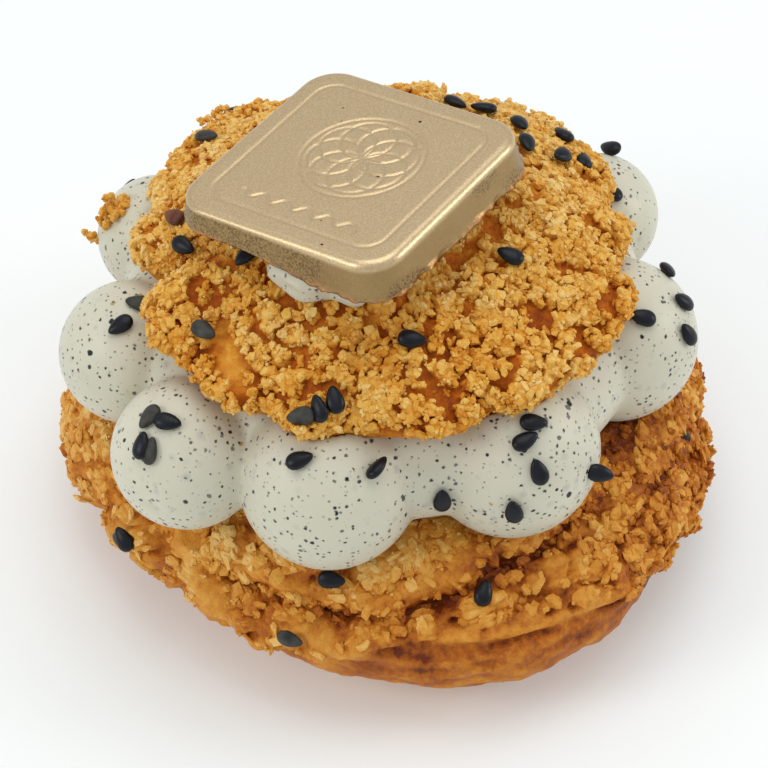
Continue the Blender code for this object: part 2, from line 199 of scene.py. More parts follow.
def closedGrid(grid, lowPole, highPole):
    # rings of quads, with a fan to a pole at each end
    rows, sides = grid.shape[:2]
    index = np.arange(rows * sides).reshape(rows, sides)
    beside = np.roll(index, -1, axis=1)
    quads = np.stack([index[:-1], beside[:-1], beside[1:], index[1:]], axis=-1).reshape(-1, 4)
    low, high = rows * sides, rows * sides + 1
    under = np.stack([beside[0], index[0], np.full(sides, low)], axis=-1)
    over = np.stack([index[-1], beside[-1], np.full(sides, high)], axis=-1)
    points = np.concatenate([grid.reshape(-1, 3), [lowPole, highPole]])
    return points, [quads, under, over]


def withPoles(values):
    # a grid's values and, for its two poles, the means of its end rows
    return np.concatenate([values.ravel(), [values[0].mean(), values[-1].mean()]])


# materials

def hexColour(code):
    # sRGB hex to linear
    parts = [int(code[start:start + 2], 16) / 255 for start in (0, 2, 4)]
    linear = [part / 12.92 if part <= 0.04045 else ((part + 0.055) / 1.055) ** 2.4 for part in parts]
    return (*linear, 1)


def addNode(tree, kind, values=None, links=None, **settings):
    node = tree.nodes.new("ShaderNode" + kind)
    for name, value in settings.items():
        setattr(node, name, value)
    for socket, value in (values or {}).items():
        node.inputs[socket].default_value = value
    for socket, source in (links or {}).items():
        tree.links.new(source, node.inputs[socket])
    return node


def newMaterial(name):
    material = bpy.data.materials.new(name)
    material.use_nodes = True
    tree = material.node_tree
    tree.nodes.clear()
    shader = addNode(tree, "BsdfPrincipled")
    addNode(tree, "OutputMaterial", links={"Surface": shader.outputs["BSDF"]})
    return material, tree, shader


def setRamp(node, stops):
    # stops are (position, hex colour), lowest first
    ramp = node.color_ramp
    while len(ramp.elements) < len(stops):
        ramp.elements.new(1.0)
    for element, (position, code) in zip(ramp.elements, stops):
        element.position = position
        element.color = hexColour(code)


def perMetre(size):
    # a texture's Scale for a pattern of this size in mm
    return 1 / (size * mm)


# Biscuit crust baked on choux: sugary, greasy and rough. Bare crust and gaps are a deep
# glossy orange brown, and crumb tops are pale, dry and grainy. The value the colour is read
# from holds the bake and also painted shade and painted light.
def crustMaterial(name, look):
    material, tree, shader = newMaterial(name)
    place = addNode(tree, "TexCoord").outputs["Object"]
    bakeAndShade = addNode(tree, "Attribute", attribute_name="bakeAndShade").outputs["Fac"]
    patches = addNode(tree, "TexNoise", {"Scale": perMetre(look["patchSize"]), "Detail": 3.0},
                      {"Vector": place}).outputs["Fac"]
    grain = addNode(tree, "TexNoise", {"Scale": perMetre(look["grainSize"]), "Detail": 4.0, "Roughness": 0.6},
                    {"Vector": place}).outputs["Fac"]
    patchShare = addNode(tree, "MapRange", {"From Min": 0.3, "From Max": 0.7, "To Min": -look["patchTint"],
                                            "To Max": look["patchTint"]}, {"Value": patches}).outputs[0]
    grainShare = addNode(tree, "MapRange", {"From Min": 0.3, "From Max": 0.7, "To Min": -look["grainTint"],
                                            "To Max": look["grainTint"]}, {"Value": grain}).outputs[0]
    tinted = addNode(tree, "Math", None, {0: bakeAndShade, 1: patchShare}, operation="ADD").outputs[0]
    tinted = addNode(tree, "Math", None, {0: tinted, 1: grainShare}, operation="ADD").outputs[0]
    ramp = addNode(tree, "ValToRGB", None, {"Fac": tinted})
    setRamp(ramp, look["colours"])
    tree.links.new(ramp.outputs["Color"], shader.inputs["Base Color"])
    dry = addNode(tree, "MapRange", {"From Min": 0.35, "From Max": 0.65, "To Min": look["roughness"][0],
                                     "To Max": look["roughness"][1]}, {"Value": grain}).outputs[0]
    tree.links.new(dry, shader.inputs["Roughness"])
    fine = addNode(tree, "TexNoise", {"Scale": perMetre(look["fineSize"]), "Detail": 2.0},
                   {"Vector": place}).outputs["Fac"]
    heights = addNode(tree, "Math", None, {0: grain, 1: fine}, operation="ADD").outputs[0]
    bumps = addNode(tree, "Bump", {"Strength": look["bump"], "Distance": look["bumpDepth"] * mm},
                    {"Height": heights}).outputs["Normal"]
    tree.links.new(bumps, shader.inputs["Normal"])
    shader.inputs["IOR"].default_value = 1.46
    shader.inputs["Specular IOR Level"].default_value = look["specular"]
    return material


# the crust's colours from the deepest gap, darkened with painted shade, to the palest crumb
# top, brightened with painted light
baseColours = [(0.0, "6f2c0a"), (0.25, "b26119"), (0.5, "d4892d"), (0.75, "e3a547"), (1.0, "efc476")]
capColours = [(0.0, "8a3a08"), (0.25, "bd6412"), (0.5, "dc962f"), (0.75, "eab655"), (1.0, "f2cf82")]
baseLook = {
    "colours": baseColours, "patchSize": 9.0, "patchTint": 0.12, "grainSize": 0.9, "grainTint": 0.16,
    "fineSize": 0.28, "roughness": (0.28, 0.8), "bump": 0.75, "bumpDepth": 0.2, "specular": 0.22}
capLook = dict(baseLook, colours=capColours, patchTint=0.10, grainTint=0.14, roughness=(0.42, 0.8),
               specular=0.17)


# Firm piped custard cream with ground black sesame: satin, faintly see-through, grey
# white, with black specks, soft grey smudges and a few yellow ones.
creamLook = {
    "colour": "dcd8c2", "shade": "cbc8b4", "speck": "191b1b", "dull": "7a776c", "smudge": "adaea6",
    "yellow": "b59a52",
    # spacing in mm, radius as a share of it, edge softness, how many cells have one
    "specks": ((0.64, 0.43, 0.2, 0.95), (1.25, 0.29, 0.09, 0.8), (2.5, 0.19, 0.05, 0.6)),
    "smudges": (1.5, 0.5, 0.6, 0.8), "yellows": (3.0, 0.14, 0.04, 0.5),
    # what makes the dots ragged, the clouds and the ripples: sizes, push and depth in mm
    "pushSize": 0.5, "push": 0.42, "cloudSize": 7.0, "rippleSize": 1.6, "rippleDepth": 0.12,
    "roughness": (0.31, 0.46), "glow": 0.12, "glowSize": 1.5}


def creamMaterial(name, look):
    material, tree, shader = newMaterial(name)
    place = addNode(tree, "TexCoord").outputs["Object"]
    push = addNode(tree, "TexNoise", {"Scale": perMetre(look["pushSize"]), "Detail": 2.0},
                   {"Vector": place}).outputs["Color"]
    pushed = addNode(tree, "VectorMath", {1: (0.5, 0.5, 0.5)}, {0: push}, operation="SUBTRACT").outputs[0]
    pushed = addNode(tree, "VectorMath", {"Scale": look["push"] * mm}, {0: pushed},
                     operation="SCALE").outputs[0]
    place = addNode(tree, "VectorMath", None, {0: place, 1: pushed}, operation="ADD").outputs[0]
    cloud, ripple = [
        addNode(tree, "TexNoise", {"Scale": perMetre(look[size]), "Detail": 3.0},
                {"Vector": place}).outputs["Fac"]
        for size in ("cloudSize", "rippleSize")]
    colour = addNode(tree, "Mix", {6: hexColour(look["colour"]), 7: hexColour(look["shade"])}, {0: cloud},
                     data_type="RGBA").outputs[2]

    def dots(spacing, radius, soft, share):
        # round dots of random size in a share of the cells of a scattered pattern
        cells = addNode(tree, "TexVoronoi", {"Scale": perMetre(spacing)}, {"Vector": place})
        parts = addNode(tree, "SeparateColor", None, {"Color": cells.outputs["Color"]})
        size = addNode(tree, "MapRange", {"From Min": 1 - share, "From Max": 1.0, "To Max": radius},
                       {"Value": parts.outputs[0]}).outputs[0]
        inside = addNode(tree, "Math", None, {0: size, 1: cells.outputs["Distance"]}, operation="SUBTRACT")
        mask = addNode(tree, "MapRange", {"From Max": soft}, {"Value": inside.outputs[0]})
        return mask.outputs[0], parts.outputs[1]

    layers = [(look["smudges"], "smudge", "shade"), (look["yellows"], "yellow", "yellow")]
    layers += [(specks, "speck", "dull") for specks in look["specks"]]
    for pattern, first, last in layers:
        mask, own = dots(*pattern)
        own = addNode(tree, "MapRange", {"From Min": 0.35, "From Max": 1.0}, {"Value": own}).outputs[0]
        shade = addNode(tree, "Mix", {6: hexColour(look[first]), 7: hexColour(look[last])}, {0: own},
                        data_type="RGBA").outputs[2]
        colour = addNode(tree, "Mix", None, {0: mask, 6: colour, 7: shade}, data_type="RGBA").outputs[2]
    tree.links.new(colour, shader.inputs["Base Color"])
    satin = addNode(tree, "MapRange", {"From Min": 0.3, "From Max": 0.7, "To Min": look["roughness"][0],
                                       "To Max": look["roughness"][1]}, {"Value": ripple}).outputs[0]
    tree.links.new(satin, shader.inputs["Roughness"])
    bumps = addNode(tree, "Bump", {"Strength": 0.12, "Distance": look["rippleDepth"] * mm},
                    {"Height": ripple}).outputs["Normal"]
    tree.links.new(bumps, shader.inputs["Normal"])
    shader.inputs["IOR"].default_value = 1.42
    shader.inputs["Specular IOR Level"].default_value = 0.4
    shader.inputs["Subsurface Weight"].default_value = look["glow"]
    shader.inputs["Subsurface Radius"].default_value = (1.0, 0.85, 0.6)
    shader.inputs["Subsurface Scale"].default_value = look["glowSize"] * mm
    return material


# Tempered chocolate brushed with gold lustre powder: a fine metallic sparkle, darker
# where the powder is thin on the sides, and coppery where the lower edge broke.
lustreLook = {
    "gold": "c6a87c", "pale": "ead4ac", "thin": "5f472e", "flank": "a08458", "copper": "c08a5a",
    "pit": "3a2313", "metallic": 0.85, "roughness": (0.3, 0.42),
    # sizes, spacing and depth in mm
    "grainSize": 0.2, "grainDepth": 0.05, "mottleSize": 0.26, "pitSpacing": 4.2}


def lustreMaterial(name, look):
    material, tree, shader = newMaterial(name)
    place = addNode(tree, "TexCoord").outputs["Object"]
    side, worn, broken = [addNode(tree, "Attribute", attribute_name=label).outputs["Fac"]
                          for label in ("side", "worn", "broken")]
    grain = addNode(tree, "TexNoise", {"Scale": perMetre(look["grainSize"]), "Detail": 3.0, "Roughness": 0.7},
                    {"Vector": place}).outputs["Fac"]
    mottle = addNode(tree, "TexNoise",
                     {"Scale": perMetre(look["mottleSize"]), "Detail": 5.0, "Roughness": 0.65},
                     {"Vector": place}).outputs["Fac"]
    glitter = addNode(tree, "MapRange", {"From Min": 0.28, "From Max": 0.76}, {"Value": grain}).outputs[0]
    colour = addNode(tree, "Mix", {6: hexColour(look["gold"]), 7: hexColour(look["pale"])}, {0: glitter},
                     data_type="RGBA").outputs[2]
    thin = addNode(tree, "MapRange", {"From Min": 0.42, "From Max": 0.66}, {"Value": mottle}).outputs[0]
    thin = addNode(tree, "Math", None, {0: thin, 1: worn}, operation="MULTIPLY").outputs[0]
    pits = addNode(tree, "TexVoronoi", {"Scale": perMetre(look["pitSpacing"])}, {"Vector": place})
    pits = addNode(tree, "MapRange", {"From Min": 0.055, "From Max": 0.035},
                   {"Value": pits.outputs["Distance"]}).outputs[0]
    for layer, share in (("flank", side), ("thin", thin), ("copper", broken), ("pit", pits)):
        colour = addNode(tree, "Mix", {7: hexColour(look[layer])}, {0: share, 6: colour},
                         data_type="RGBA").outputs[2]
    tree.links.new(colour, shader.inputs["Base Color"])
    satin = addNode(tree, "MapRange", {"From Min": 0.3, "From Max": 0.7, "To Min": look["roughness"][0],
                                       "To Max": look["roughness"][1]}, {"Value": mottle}).outputs[0]
    tree.links.new(satin, shader.inputs["Roughness"])
    bumps = addNode(tree, "Bump", {"Strength": 0.4, "Distance": look["grainDepth"] * mm},
                    {"Height": grain}).outputs["Normal"]
    tree.links.new(bumps, shader.inputs["Normal"])
    shader.inputs["Metallic"].default_value = look["metallic"]
    return material


# Unhulled sesame seeds: a thin dull skin with fine wrinkles, on the black ones faintly blue.
seedSkin = {"mottleSize": 1.0, "wrinkleSize": 0.3, "wrinkleDepth": 0.06}


def seedMaterial(name, look):
    material, tree, shader = newMaterial(name)
    place = addNode(tree, "TexCoord").outputs["Object"]
    mottle, wrinkle = [
        addNode(tree, "TexNoise", {"Scale": perMetre(seedSkin[size]), "Detail": detail},
                {"Vector": place}).outputs["Fac"]
        for size, detail in (("mottleSize", 4.0), ("wrinkleSize", 3.0))]
    ramp = addNode(tree, "ValToRGB", None, {"Fac": mottle})
    setRamp(ramp, look["colours"])
    tree.links.new(ramp.outputs["Color"], shader.inputs["Base Color"])
    bumps = addNode(tree, "Bump", {"Strength": 0.4, "Distance": seedSkin["wrinkleDepth"] * mm},
                    {"Height": wrinkle}).outputs["Normal"]
    tree.links.new(bumps, shader.inputs["Normal"])
    shader.inputs["Roughness"].default_value = look["roughness"]
    shader.inputs["Specular IOR Level"].default_value = 0.3
    shader.inputs["IOR"].default_value = 1.47
    return material


seedLooks = {
    "black": {"colours": [(0.3, "090a0f"), (0.7, "161922")], "roughness": 0.34},
    "grey": {"colours": [(0.3, "282826"), (0.7, "474640")], "roughness": 0.5},
    "brown": {"colours": [(0.3, "43200f"), (0.7, "7a4226")], "roughness": 0.45}}

crustOfBase = crustMaterial("bakedCrust", baseLook)
crustOfCap = crustMaterial("biscuitTop", capLook)
sesameCream = creamMaterial("sesameCream", creamLook)
goldLustre = lustreMaterial("goldLustreChocolate", lustreLook)
seedSkins = {kind: seedMaterial(kind + "SesameSkin", look) for kind, look in seedLooks.items()}
print("materials made")


# crumbly relief that the solids share
crumb = {
    "clusterSize": 5.0, "clusterRise": 1.1, "clusterEdges": (0.38, 0.62), "lumpSize": 2.8, "lumpRise": 0.8,
    "fade": 0.6,
    # how the plates' outlines wander, as shares of their size and then in mm: size and
    # push, and the edges of the grooves between them
    "waves": (1.3, 0.28), "crinkles": (0.9, 0.3), "groove": (0.03, 0.26)}


def crumbIslands(points, seed):
    low, high = crumb["clusterEdges"]
    return np.clip((softNoise(points, crumb["clusterSize"], seed) - low) / (high - low), 0, 1)


def crumbRelief(points, seed):
    # islands of crumbs with bare crust between them, lumpy all over
    lumps = softNoise(points, crumb["lumpSize"], seed + 1) * crumb["lumpRise"]
    return crumbIslands(points, seed) * crumb["clusterRise"] + lumps


def crackle(points, size, seed):
    # flat-topped angular plates with grooves between them, from 0 to 1, and each one's value
    waveSize, wavePush = crumb["waves"]
    wavy = warped(points, size * waveSize, size * wavePush, seed + 20)
    gap, own = cellNoise(warped(wavy, *crumb["crinkles"], seed + 40), size, seed)[1:]
    return smoothStep(gap, *crumb["groove"]), own


# choux base
base = {
    "sides": 700, "underRows": 34, "sideRows": 100,
    "radius": 36.9, "lobes": ((0.9, 1, -25), (0.8, 2, -12), (0.6, 3, -60)),
    "notches": ((-135, 1.0, 9), (-70, -1.4, 15)),
    "height": 21.8, "widestZ": 10.0, "topRadius": 25.0, "footRadius": 20.0,
    "liftBearing": -140, "liftSpread": 30, "liftOfWidest": 2.2, "liftOfFoot": 3.8,
    # crusty clusters drawn out along the side, the plates in one, and how far the bare
    # crust lies under the solid's surface
    "stretch": (0.62, 0.62, 1.0), "clusterSize": 3.2, "plateSize": 1.25, "sunk": 1.0,
    "pitSize": 2.1, "pitShare": 0.45,
    # rise of a cluster and of a plate: the least, and how much more by its own value
    "clusterRise": (0.5, 0.4), "plateRise": (0.1, 0.3),
    # grain, the step up from the smooth crust, pits, and streaks on the smooth crust
    "grainSize": 1.5, "grainRise": (0.45, 1.05), "shelfRise": 0.35, "pitEdges": (-0.36, -0.12),
    "pitDepth": 0.7, "streakStretch": (0.35, 0.35, 1.6), "streakSize": 1.3, "streakRise": 0.5,
    # the long crack, soft, with a sharp line along its middle
    "seed": 3, "crackDepth": 1.3, "crackSpread": 7, "sharpDepth": 1.1, "sharpShare": 0.42,
    "crack": ((-124, 22), (-109, 25), (-90, 28), (-80, 38), (-70, 51), (-45, 58)),
    # line under which the crust is smooth: how far it wanders in degrees, in waves of what
    # size in mm, and half the width of the change; then its bearings and climbs
    "lineWander": 6, "wanderSize": 6.0, "lineSoft": 3,
    "lowLine": ((-180, -12), (-150, -18), (-128, -22), (-116, -10), (-106, -8), (-96, 8), (-87, 15),
                (-78, 20), (-62, 21), (-54, 17), (-46, 10), (-35, -6), (0, -14), (90, -6), (180, -12)),
    # the fold of dough down the left front: climb, bearing; the climbs over which it
    # starts and ends, its rise and widths, and the hollow left of it
    "fold": ((-25, -125), (6, -124), (21, -130), (36, -134), (48, -138)),
    "foldStart": (-32, -14), "foldEnd": (40, 56), "foldRise": 0.75, "foldWidth": 2.6, "foldSmooth": 3.4,
    "hollowDepth": 0.7, "hollowTurn": 6.5, "hollowWidth": 4.5,
    # smooth rolls of dough: path, width in degrees, rise
    "rolls": ((((-119, 33), (-108, 37), (-100, 37), (-91, 38), (-82, 46), (-74, 59)), 4.5, 0.7),
              (((-96, 9), (-87, 15), (-78, 20), (-70, 22), (-62, 20), (-54, 17), (-48, 16)), 3.0, 0.5)),
    # bake of bare crust, 0 the darkest and 1 the palest, and what the rest adds or takes off;
    # the crack, the gouges and the pits take off painted shade
    "bakeAndShadeParts": {"bare": 0.41, "cluster": 0.12, "plate": (0.05, 0.15), "smooth": 0.16, "right": 0.26,
              "crackShade": 0.38, "patch": 0.2, "top": 0.1, "grain": (0.3, 0.2), "pit": 0.32,
              "under": (0.06, 0.34)},
    # how far the low side swells: bearing, mm
    "swell": ((-118, 0), (-102, 1.5), (-85, 2.0), (-72, 2.1), (-58, 2.4), (-48, 2.3), (-38, 1.3),
              (-28, 0.2), (-20, 0)),
    # gouges, painted darker with shade: path, width in degrees, depth
    "gouges": ((((-90, 12), (-84, 19)), 2.4, 1.0), (((-71, 15), (-67, 17), (-63, 14)), 1.8, 0.7),
               (((-68, 57), (-61, 55), (-54, 48)), 2.2, 0.9), (((-52, 12), (-45, 8), (-38, 2)), 2.0, 0.7),
               (((-78, 30), (-66, 33), (-58, 29)), 2.0, 0.6), (((-40, 35), (-32, 40), (-24, 36)), 2.6, 0.8),
               (((-150, 30), (-142, 26)), 3.0, 0.7), (((10, 30), (22, 24), (34, 30)), 3.0, 0.8),
               (((70, 20), (84, 28), (96, 24)), 3.0, 0.8), (((130, 30), (144, 22), (156, 26)), 3.0, 0.8))}


def basePlan(bearings):
    return base["radius"] + lobed(bearings, base["lobes"]) - notched(bearings, base["notches"])


def baseSmooth(bearings, climbs):
    # the section is two quarter ellipses: foot to widest line, and widest line to flat top
    widest = basePlan(bearings)
    lift = bump(bearings, base["liftBearing"], base["liftSpread"])
    slope = np.radians(climbs)[:, None]
    under = slope < 0
    widestZ = base["widestZ"] + base["liftOfWidest"] * lift
    inner = np.where(under, base["footRadius"] - base["liftOfFoot"] * lift, base["topRadius"])
    reach = inner + (widest - inner) * np.cos(slope)
    height = widestZ + np.where(under, widestZ, base["height"] - widestZ) * np.sin(slope)
    return onBearings(bearings, reach, height)


def foldRidge(bearings, climbs):
    # the relief of the fold and of the hollow left of it, and how far a place is on the fold
    line = np.array(base["fold"], float)
    along = smoothStep(climbs, *base["foldStart"]) * (1 - smoothStep(climbs, *base["foldEnd"]))
    turn = turnBetween(bearings, np.interp(climbs, line[:, 0], line[:, 1]))
    ridge = base["foldRise"] * np.exp(-(turn / base["foldWidth"]) ** 2)
    hollow = base["hollowDepth"] * np.exp(-((turn + base["hollowTurn"]) / base["hollowWidth"]) ** 2)
    return along * (ridge - hollow), along * np.exp(-(turn / base["foldSmooth"]) ** 2)


def baseRelief(points, bearings, climbs):
    # returns the relief in mm, the bake from 0 to 1 and the cover of crumbs from 0 to 1
    bearings, climbs = np.broadcast_arrays(bearings, climbs[:, None])
    crack = strokeTo(bearings, climbs, base["crack"], base["crackSpread"])
    sharp = strokeTo(bearings, climbs, base["crack"], base["crackSpread"] * base["sharpShare"])
    rolls = [strokeTo(bearings, climbs, path, width) for path, width, rise in base["rolls"]]
    gouges = [strokeTo(bearings, climbs, path, width) for path, width, depth in base["gouges"]]
    fold, onFold = foldRidge(bearings, climbs)
    line = np.array(base["lowLine"], float)
    wander = base["lineWander"] * (softNoise(points, base["wanderSize"], 71) - 0.5)
    over = climbs + wander - np.interp(bearings, line[:, 0], line[:, 1])
    above = smoothStep(over, -base["lineSoft"], base["lineSoft"])
    smooth = np.clip(sum(rolls) + onFold, 0, 1)
    clusters, clusterOwn = crackle(points * base["stretch"], base["clusterSize"], 31)
    plates, own = crackle(points * base["stretch"], base["plateSize"], 41)
    crusty = above * (1 - 0.85 * smooth) * clusters
    # few crumbs on the left side and under the crack
    left = smoothStep(-np.abs(turnBetween(bearings, -153)), -29, -21) * (1 - smoothStep(climbs, 42, 58))
    crackLine = np.array(base["crack"], float)
    under = smoothStep(np.interp(bearings, crackLine[:, 0], crackLine[:, 1]) - climbs, 2, 9)
    under = under * smoothStep(-np.abs(turnBetween(bearings, -88)), -44, -34)
    cover = crusty * (1 - 0.75 * np.maximum(left, under))
    rough = softNoise(points, 7.0, 51)
    relief = (crumbRelief(points, base["seed"]) - crumb["clusterRise"] / 2) * (0.35 + 0.65 * above)
    relief = relief - base["crackDepth"] * crack - base["sharpDepth"] * sharp + fold
    relief = relief + sum(rise * stroke for stroke, (path, width, rise) in zip(rolls, base["rolls"]))
    relief = relief - sum(depth * stroke for stroke, (path, width, depth) in zip(gouges, base["gouges"]))
    clusterRise = base["clusterRise"][0] + base["clusterRise"][1] * clusterOwn
    plateRise = base["plateRise"][0] + base["plateRise"][1] * own
    relief = relief + crusty * clusterRise + crusty * plates * plateRise - base["sunk"]
    rugged = above * (1 - 0.8 * smooth)
    grain = grainNoise(points, base["grainSize"], 61) - 0.5
    grainRise = base["grainRise"][0] + base["grainRise"][1] * rugged
    relief = relief + base["shelfRise"] * (above - 0.5) + grainRise * grain
    fromPit, _, pitOwn = cellNoise(warped(points, 1.5, 0.5, 95), base["pitSize"], 91)
    pits = smoothStep(-fromPit, *base["pitEdges"]) * (pitOwn < base["pitShare"]) * rugged
    relief = relief - base["pitDepth"] * pits
    swell = np.array(base["swell"], float)
    low = smoothStep(climbs, -85, -50) * (1 - smoothStep(climbs, 5, 40))
    relief = relief + np.interp(bearings, swell[:, 0], swell[:, 1]) * low
    streaks = softNoise(points * np.array(base["streakStretch"]), base["streakSize"], 83)
    relief = relief + base["streakRise"] * (1 - above) * (streaks - 0.5)
    # the crack, its sharp middle line and the gouges are painted darker: painted shade
    crackShade = 0.75 * sharp + 0.35 * crack + 0.55 * sum(gouges)
    fromFront = turnBetween(bearings, -45)
    right = smoothStep(fromFront, -45, 25) * (1 - smoothStep(fromFront, 80, 170))
    bakeAndShadeParts = base["bakeAndShadeParts"]
    plateBake = bakeAndShadeParts["plate"][0] + bakeAndShadeParts["plate"][1] * own
    grainBake = bakeAndShadeParts["grain"][0] + bakeAndShadeParts["grain"][1] * rugged
    bakeAndShade = bakeAndShadeParts["bare"] + crusty * bakeAndShadeParts["cluster"] + crusty * plates * plateBake
    bakeAndShade = bakeAndShade + bakeAndShadeParts["smooth"] * smooth - bakeAndShadeParts["right"] * right
    bakeAndShade = bakeAndShade - crackShade * bakeAndShadeParts["crackShade"] + bakeAndShadeParts["patch"] * (rough - 0.5)
    bakeAndShade = bakeAndShade - bakeAndShadeParts["top"] * smoothStep(climbs, 55, 80)
    # the pits are painted darker: painted shade in the holes
    bakeAndShade = bakeAndShade + grainBake * (softNoise(points, 2.2, 97) - 0.5) - bakeAndShadeParts["pit"] * pits
    bakeAndShade = bakeAndShade - (1 - above) * (bakeAndShadeParts["under"][0] + bakeAndShadeParts["under"][1] * (0.5 - streaks))
    return relief, np.clip(bakeAndShade, 0, 1), cover


def baseGrid(bearings, climbs):
    points = baseSmooth(bearings, climbs)
    relief, bakeAndShade, cover = baseRelief(points, bearings, climbs)
    slope = np.radians(climbs)[:, None]
    points = points + gridNormals(points) * (relief * np.cos(slope) ** crumb["fade"])[..., None]
    points[0, :, 2] = 0
    points[-1, :, 2] = base["height"]
    points[..., 2] = np.clip(points[..., 2], 0, base["height"])
    return points, bakeAndShade, cover


baseBearings = allRound(base["sides"])
baseClimbs = np.concatenate([np.linspace(-90, 0, base["underRows"], endpoint=False),
                             np.linspace(0, 90, base["sideRows"])])
baseShell, baseBakeAndShade, baseCover = baseGrid(baseBearings, baseClimbs)
points, faces = closedGrid(baseShell, (0, 0, 0), (0, 0, base["height"]))
chouxBase = addPiece("chouxBase", points, faces, crustOfBase, {"bakeAndShade": withPoles(baseBakeAndShade)})
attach(chouxBase, "root")
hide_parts("choux_base")


# choux cap
cap = {
    "sides": 720, "rimRows": 22, "domeRows": 104, "lastClimb": 84,
    "bottomZ": 36.7, "radius": 27.9, "lobes": ((1.1, 1, -97), (0.4, 2, 90), (0.4, 4, 45), (0.3, 14, 80)),
    "notches": ((-165, 2.6, 6), (-117, 0.7, 4), (-108, -0.9, 7), (-98, 0.9, 5), (-66, 1.2, 5), (-48, 1.2, 5),
                (-7, 0.8, 8)),
    "folds": ((-165, 1.7, 7), (-136, 1.0, 8), (18, 0.8, 9)), "foldInner": 0.45,
    "edge": 3.0, "tuck": 1.7, "dome": 9.0, "domePower": 0.75, "seed": 11,
    # clusters of crumbs with cracks between them, the plates in one, and how far the
    # bare crust lies under the solid's surface
    "clusterSize": 2.6, "clusterRise": 0.85, "plateSize": 1.3, "plateRise": (0.1, 0.2), "sunk": 1.1,
    "grainSize": 1.3, "grainRise": 0.5,
    # bake of the gaps, 0 the darkest and 1 the palest, and what the rest adds or takes off;
    # the folds take off painted shade
    "bakeAndShadeParts": {"gap": 0.2, "cluster": 0.32, "plate": (0.08, 0.1), "bare": 0.34, "rim": 0.16, "patch": 0.2,
              "fold": 0.12},
    # where the crumbs are painted paler, partly paler crumbs and partly painted light on the
    # sides that face the light: bearing, by how much, spread
    "pale": ((165, 0.16, 45), (65, 0.24, 45), (5, 0.09, 35)),
    # where the back has settled: bearing, depth, spread, and the climbs between which it has
    "settled": ((128, 2.9, 28), (60, 1.7, 32)), "settledFrom": (-6, 22), "settledTo": (58, 80),
    # bare crust: bearing, distance from the axis, size in mm
    "bare": ((-137, 24.3, 1.5), (-131, 26.4, 1.7), (-126, 28.4, 1.9), (-123, 30.4, 1.9), (-58, 29.6, 2.2),
             (-64, 28.8, 1.2), (-10, 11.5, 1.6), (-27, 13.2, 1.5), (-80, 18.6, 0.8), (-94, 18.6, 1.0),
             (100, 22.0, 1.5), (160, 20.0, 1.4), (20, 24.5, 0.9))}


def capPlan(bearings):
    return cap["radius"] + lobed(bearings, cap["lobes"]) - notched(bearings, cap["notches"])


def domeHeight(reach, plan):
    # bottom + edge + dome * (1 - (reach / plan)^2)^power
    inside = np.clip(1 - (reach / plan) ** 2, 0, 1)
    return cap["bottomZ"] + cap["edge"] + cap["dome"] * inside ** cap["domePower"]


def bareCrust(points, patches):
    # 1 in the middle of each bare patch, falling as a bell to 0
    total = 0.0
    for bearing, reach, size in patches:
        angle = math.radians(bearing)
        away = np.hypot(points[..., 0] - reach * math.cos(angle), points[..., 1] - reach * math.sin(angle))
        total = total + np.exp(-(away / size) ** 2)
    return np.clip(total, 0, 1)


def capGrid(bearings, climbs):
    # a rounded rim up to the widest line, and the dome over it
    plan = capPlan(bearings)
    slope = np.radians(climbs)[:, None]
    rim = slope < 0
    reach = np.where(rim, plan - cap["tuck"] * (1 - np.cos(slope)), plan * np.cos(slope))
    height = np.where(rim, cap["bottomZ"] + cap["edge"] * (1 + np.sin(slope)), domeHeight(reach, plan))
    points = onBearings(bearings, reach, height)
    bare = bareCrust(points, cap["bare"]) * (1 - smoothStep(reach / plan, 0.94, 0.99))
    outer = np.clip((reach / plan - cap["foldInner"]) * 2, 0, 1)
    clusters = smoothStep(crackle(points, cap["clusterSize"], 131)[0], 0.3, 0.85)
    plates, own = crackle(points, cap["plateSize"], 141)
    onTop = smoothStep(climbs, -40, -12)[:, None]
    cover = clusters * (1 - smoothStep(bare, 0.2, 0.6)) * onTop
    relief = crumbRelief(points, cap["seed"]) * (1 - 0.7 * bare) - notched(bearings, cap["folds"]) * outer
    plateRise = cap["plateRise"][0] + cap["plateRise"][1] * own
    relief = relief + cover * (cap["clusterRise"] + plates * plateRise) - cap["sunk"]
    relief = relief + cap["grainRise"] * (grainNoise(points, cap["grainSize"], 161) - 0.5)
    window = smoothStep(climbs, *cap["settledFrom"]) * (1 - smoothStep(climbs, *cap["settledTo"]))
    relief = relief - notched(bearings, cap["settled"]) * window[:, None]
    fade = np.where(rim, 1 + np.sin(slope), np.cos(slope) ** crumb["fade"])
    points = points + gridNormals(points) * (relief * fade)[..., None]
    points[0, :, 2] = cap["bottomZ"]
    points[..., 2] = np.maximum(points[..., 2], cap["bottomZ"])
    bakeAndShadeParts = cap["bakeAndShadeParts"]
    plateBake = bakeAndShadeParts["plate"][0] + bakeAndShadeParts["plate"][1] * own
    bakeAndShade = bakeAndShadeParts["gap"] + cover * (bakeAndShadeParts["cluster"] + plates * plateBake)
    bakeAndShade = bakeAndShade + bakeAndShadeParts["bare"] * bare * (climbs[:, None] < 55)
    bakeAndShade = bakeAndShade + bakeAndShadeParts["rim"] * (1 - onTop)
    # paler on some sides: partly painted light, partly paler crumbs
    bakeAndShade = bakeAndShade + notched(bearings, cap["pale"])
    bakeAndShade = bakeAndShade + bakeAndShadeParts["patch"] * (softNoise(points, 4.0, 171) - 0.5)
    # the folds are painted darker: painted shade in the creases
    bakeAndShade = bakeAndShade - bakeAndShadeParts["fold"] * notched(bearings, cap["folds"]) * outer
    return points, np.clip(bakeAndShade, 0, 1), cover


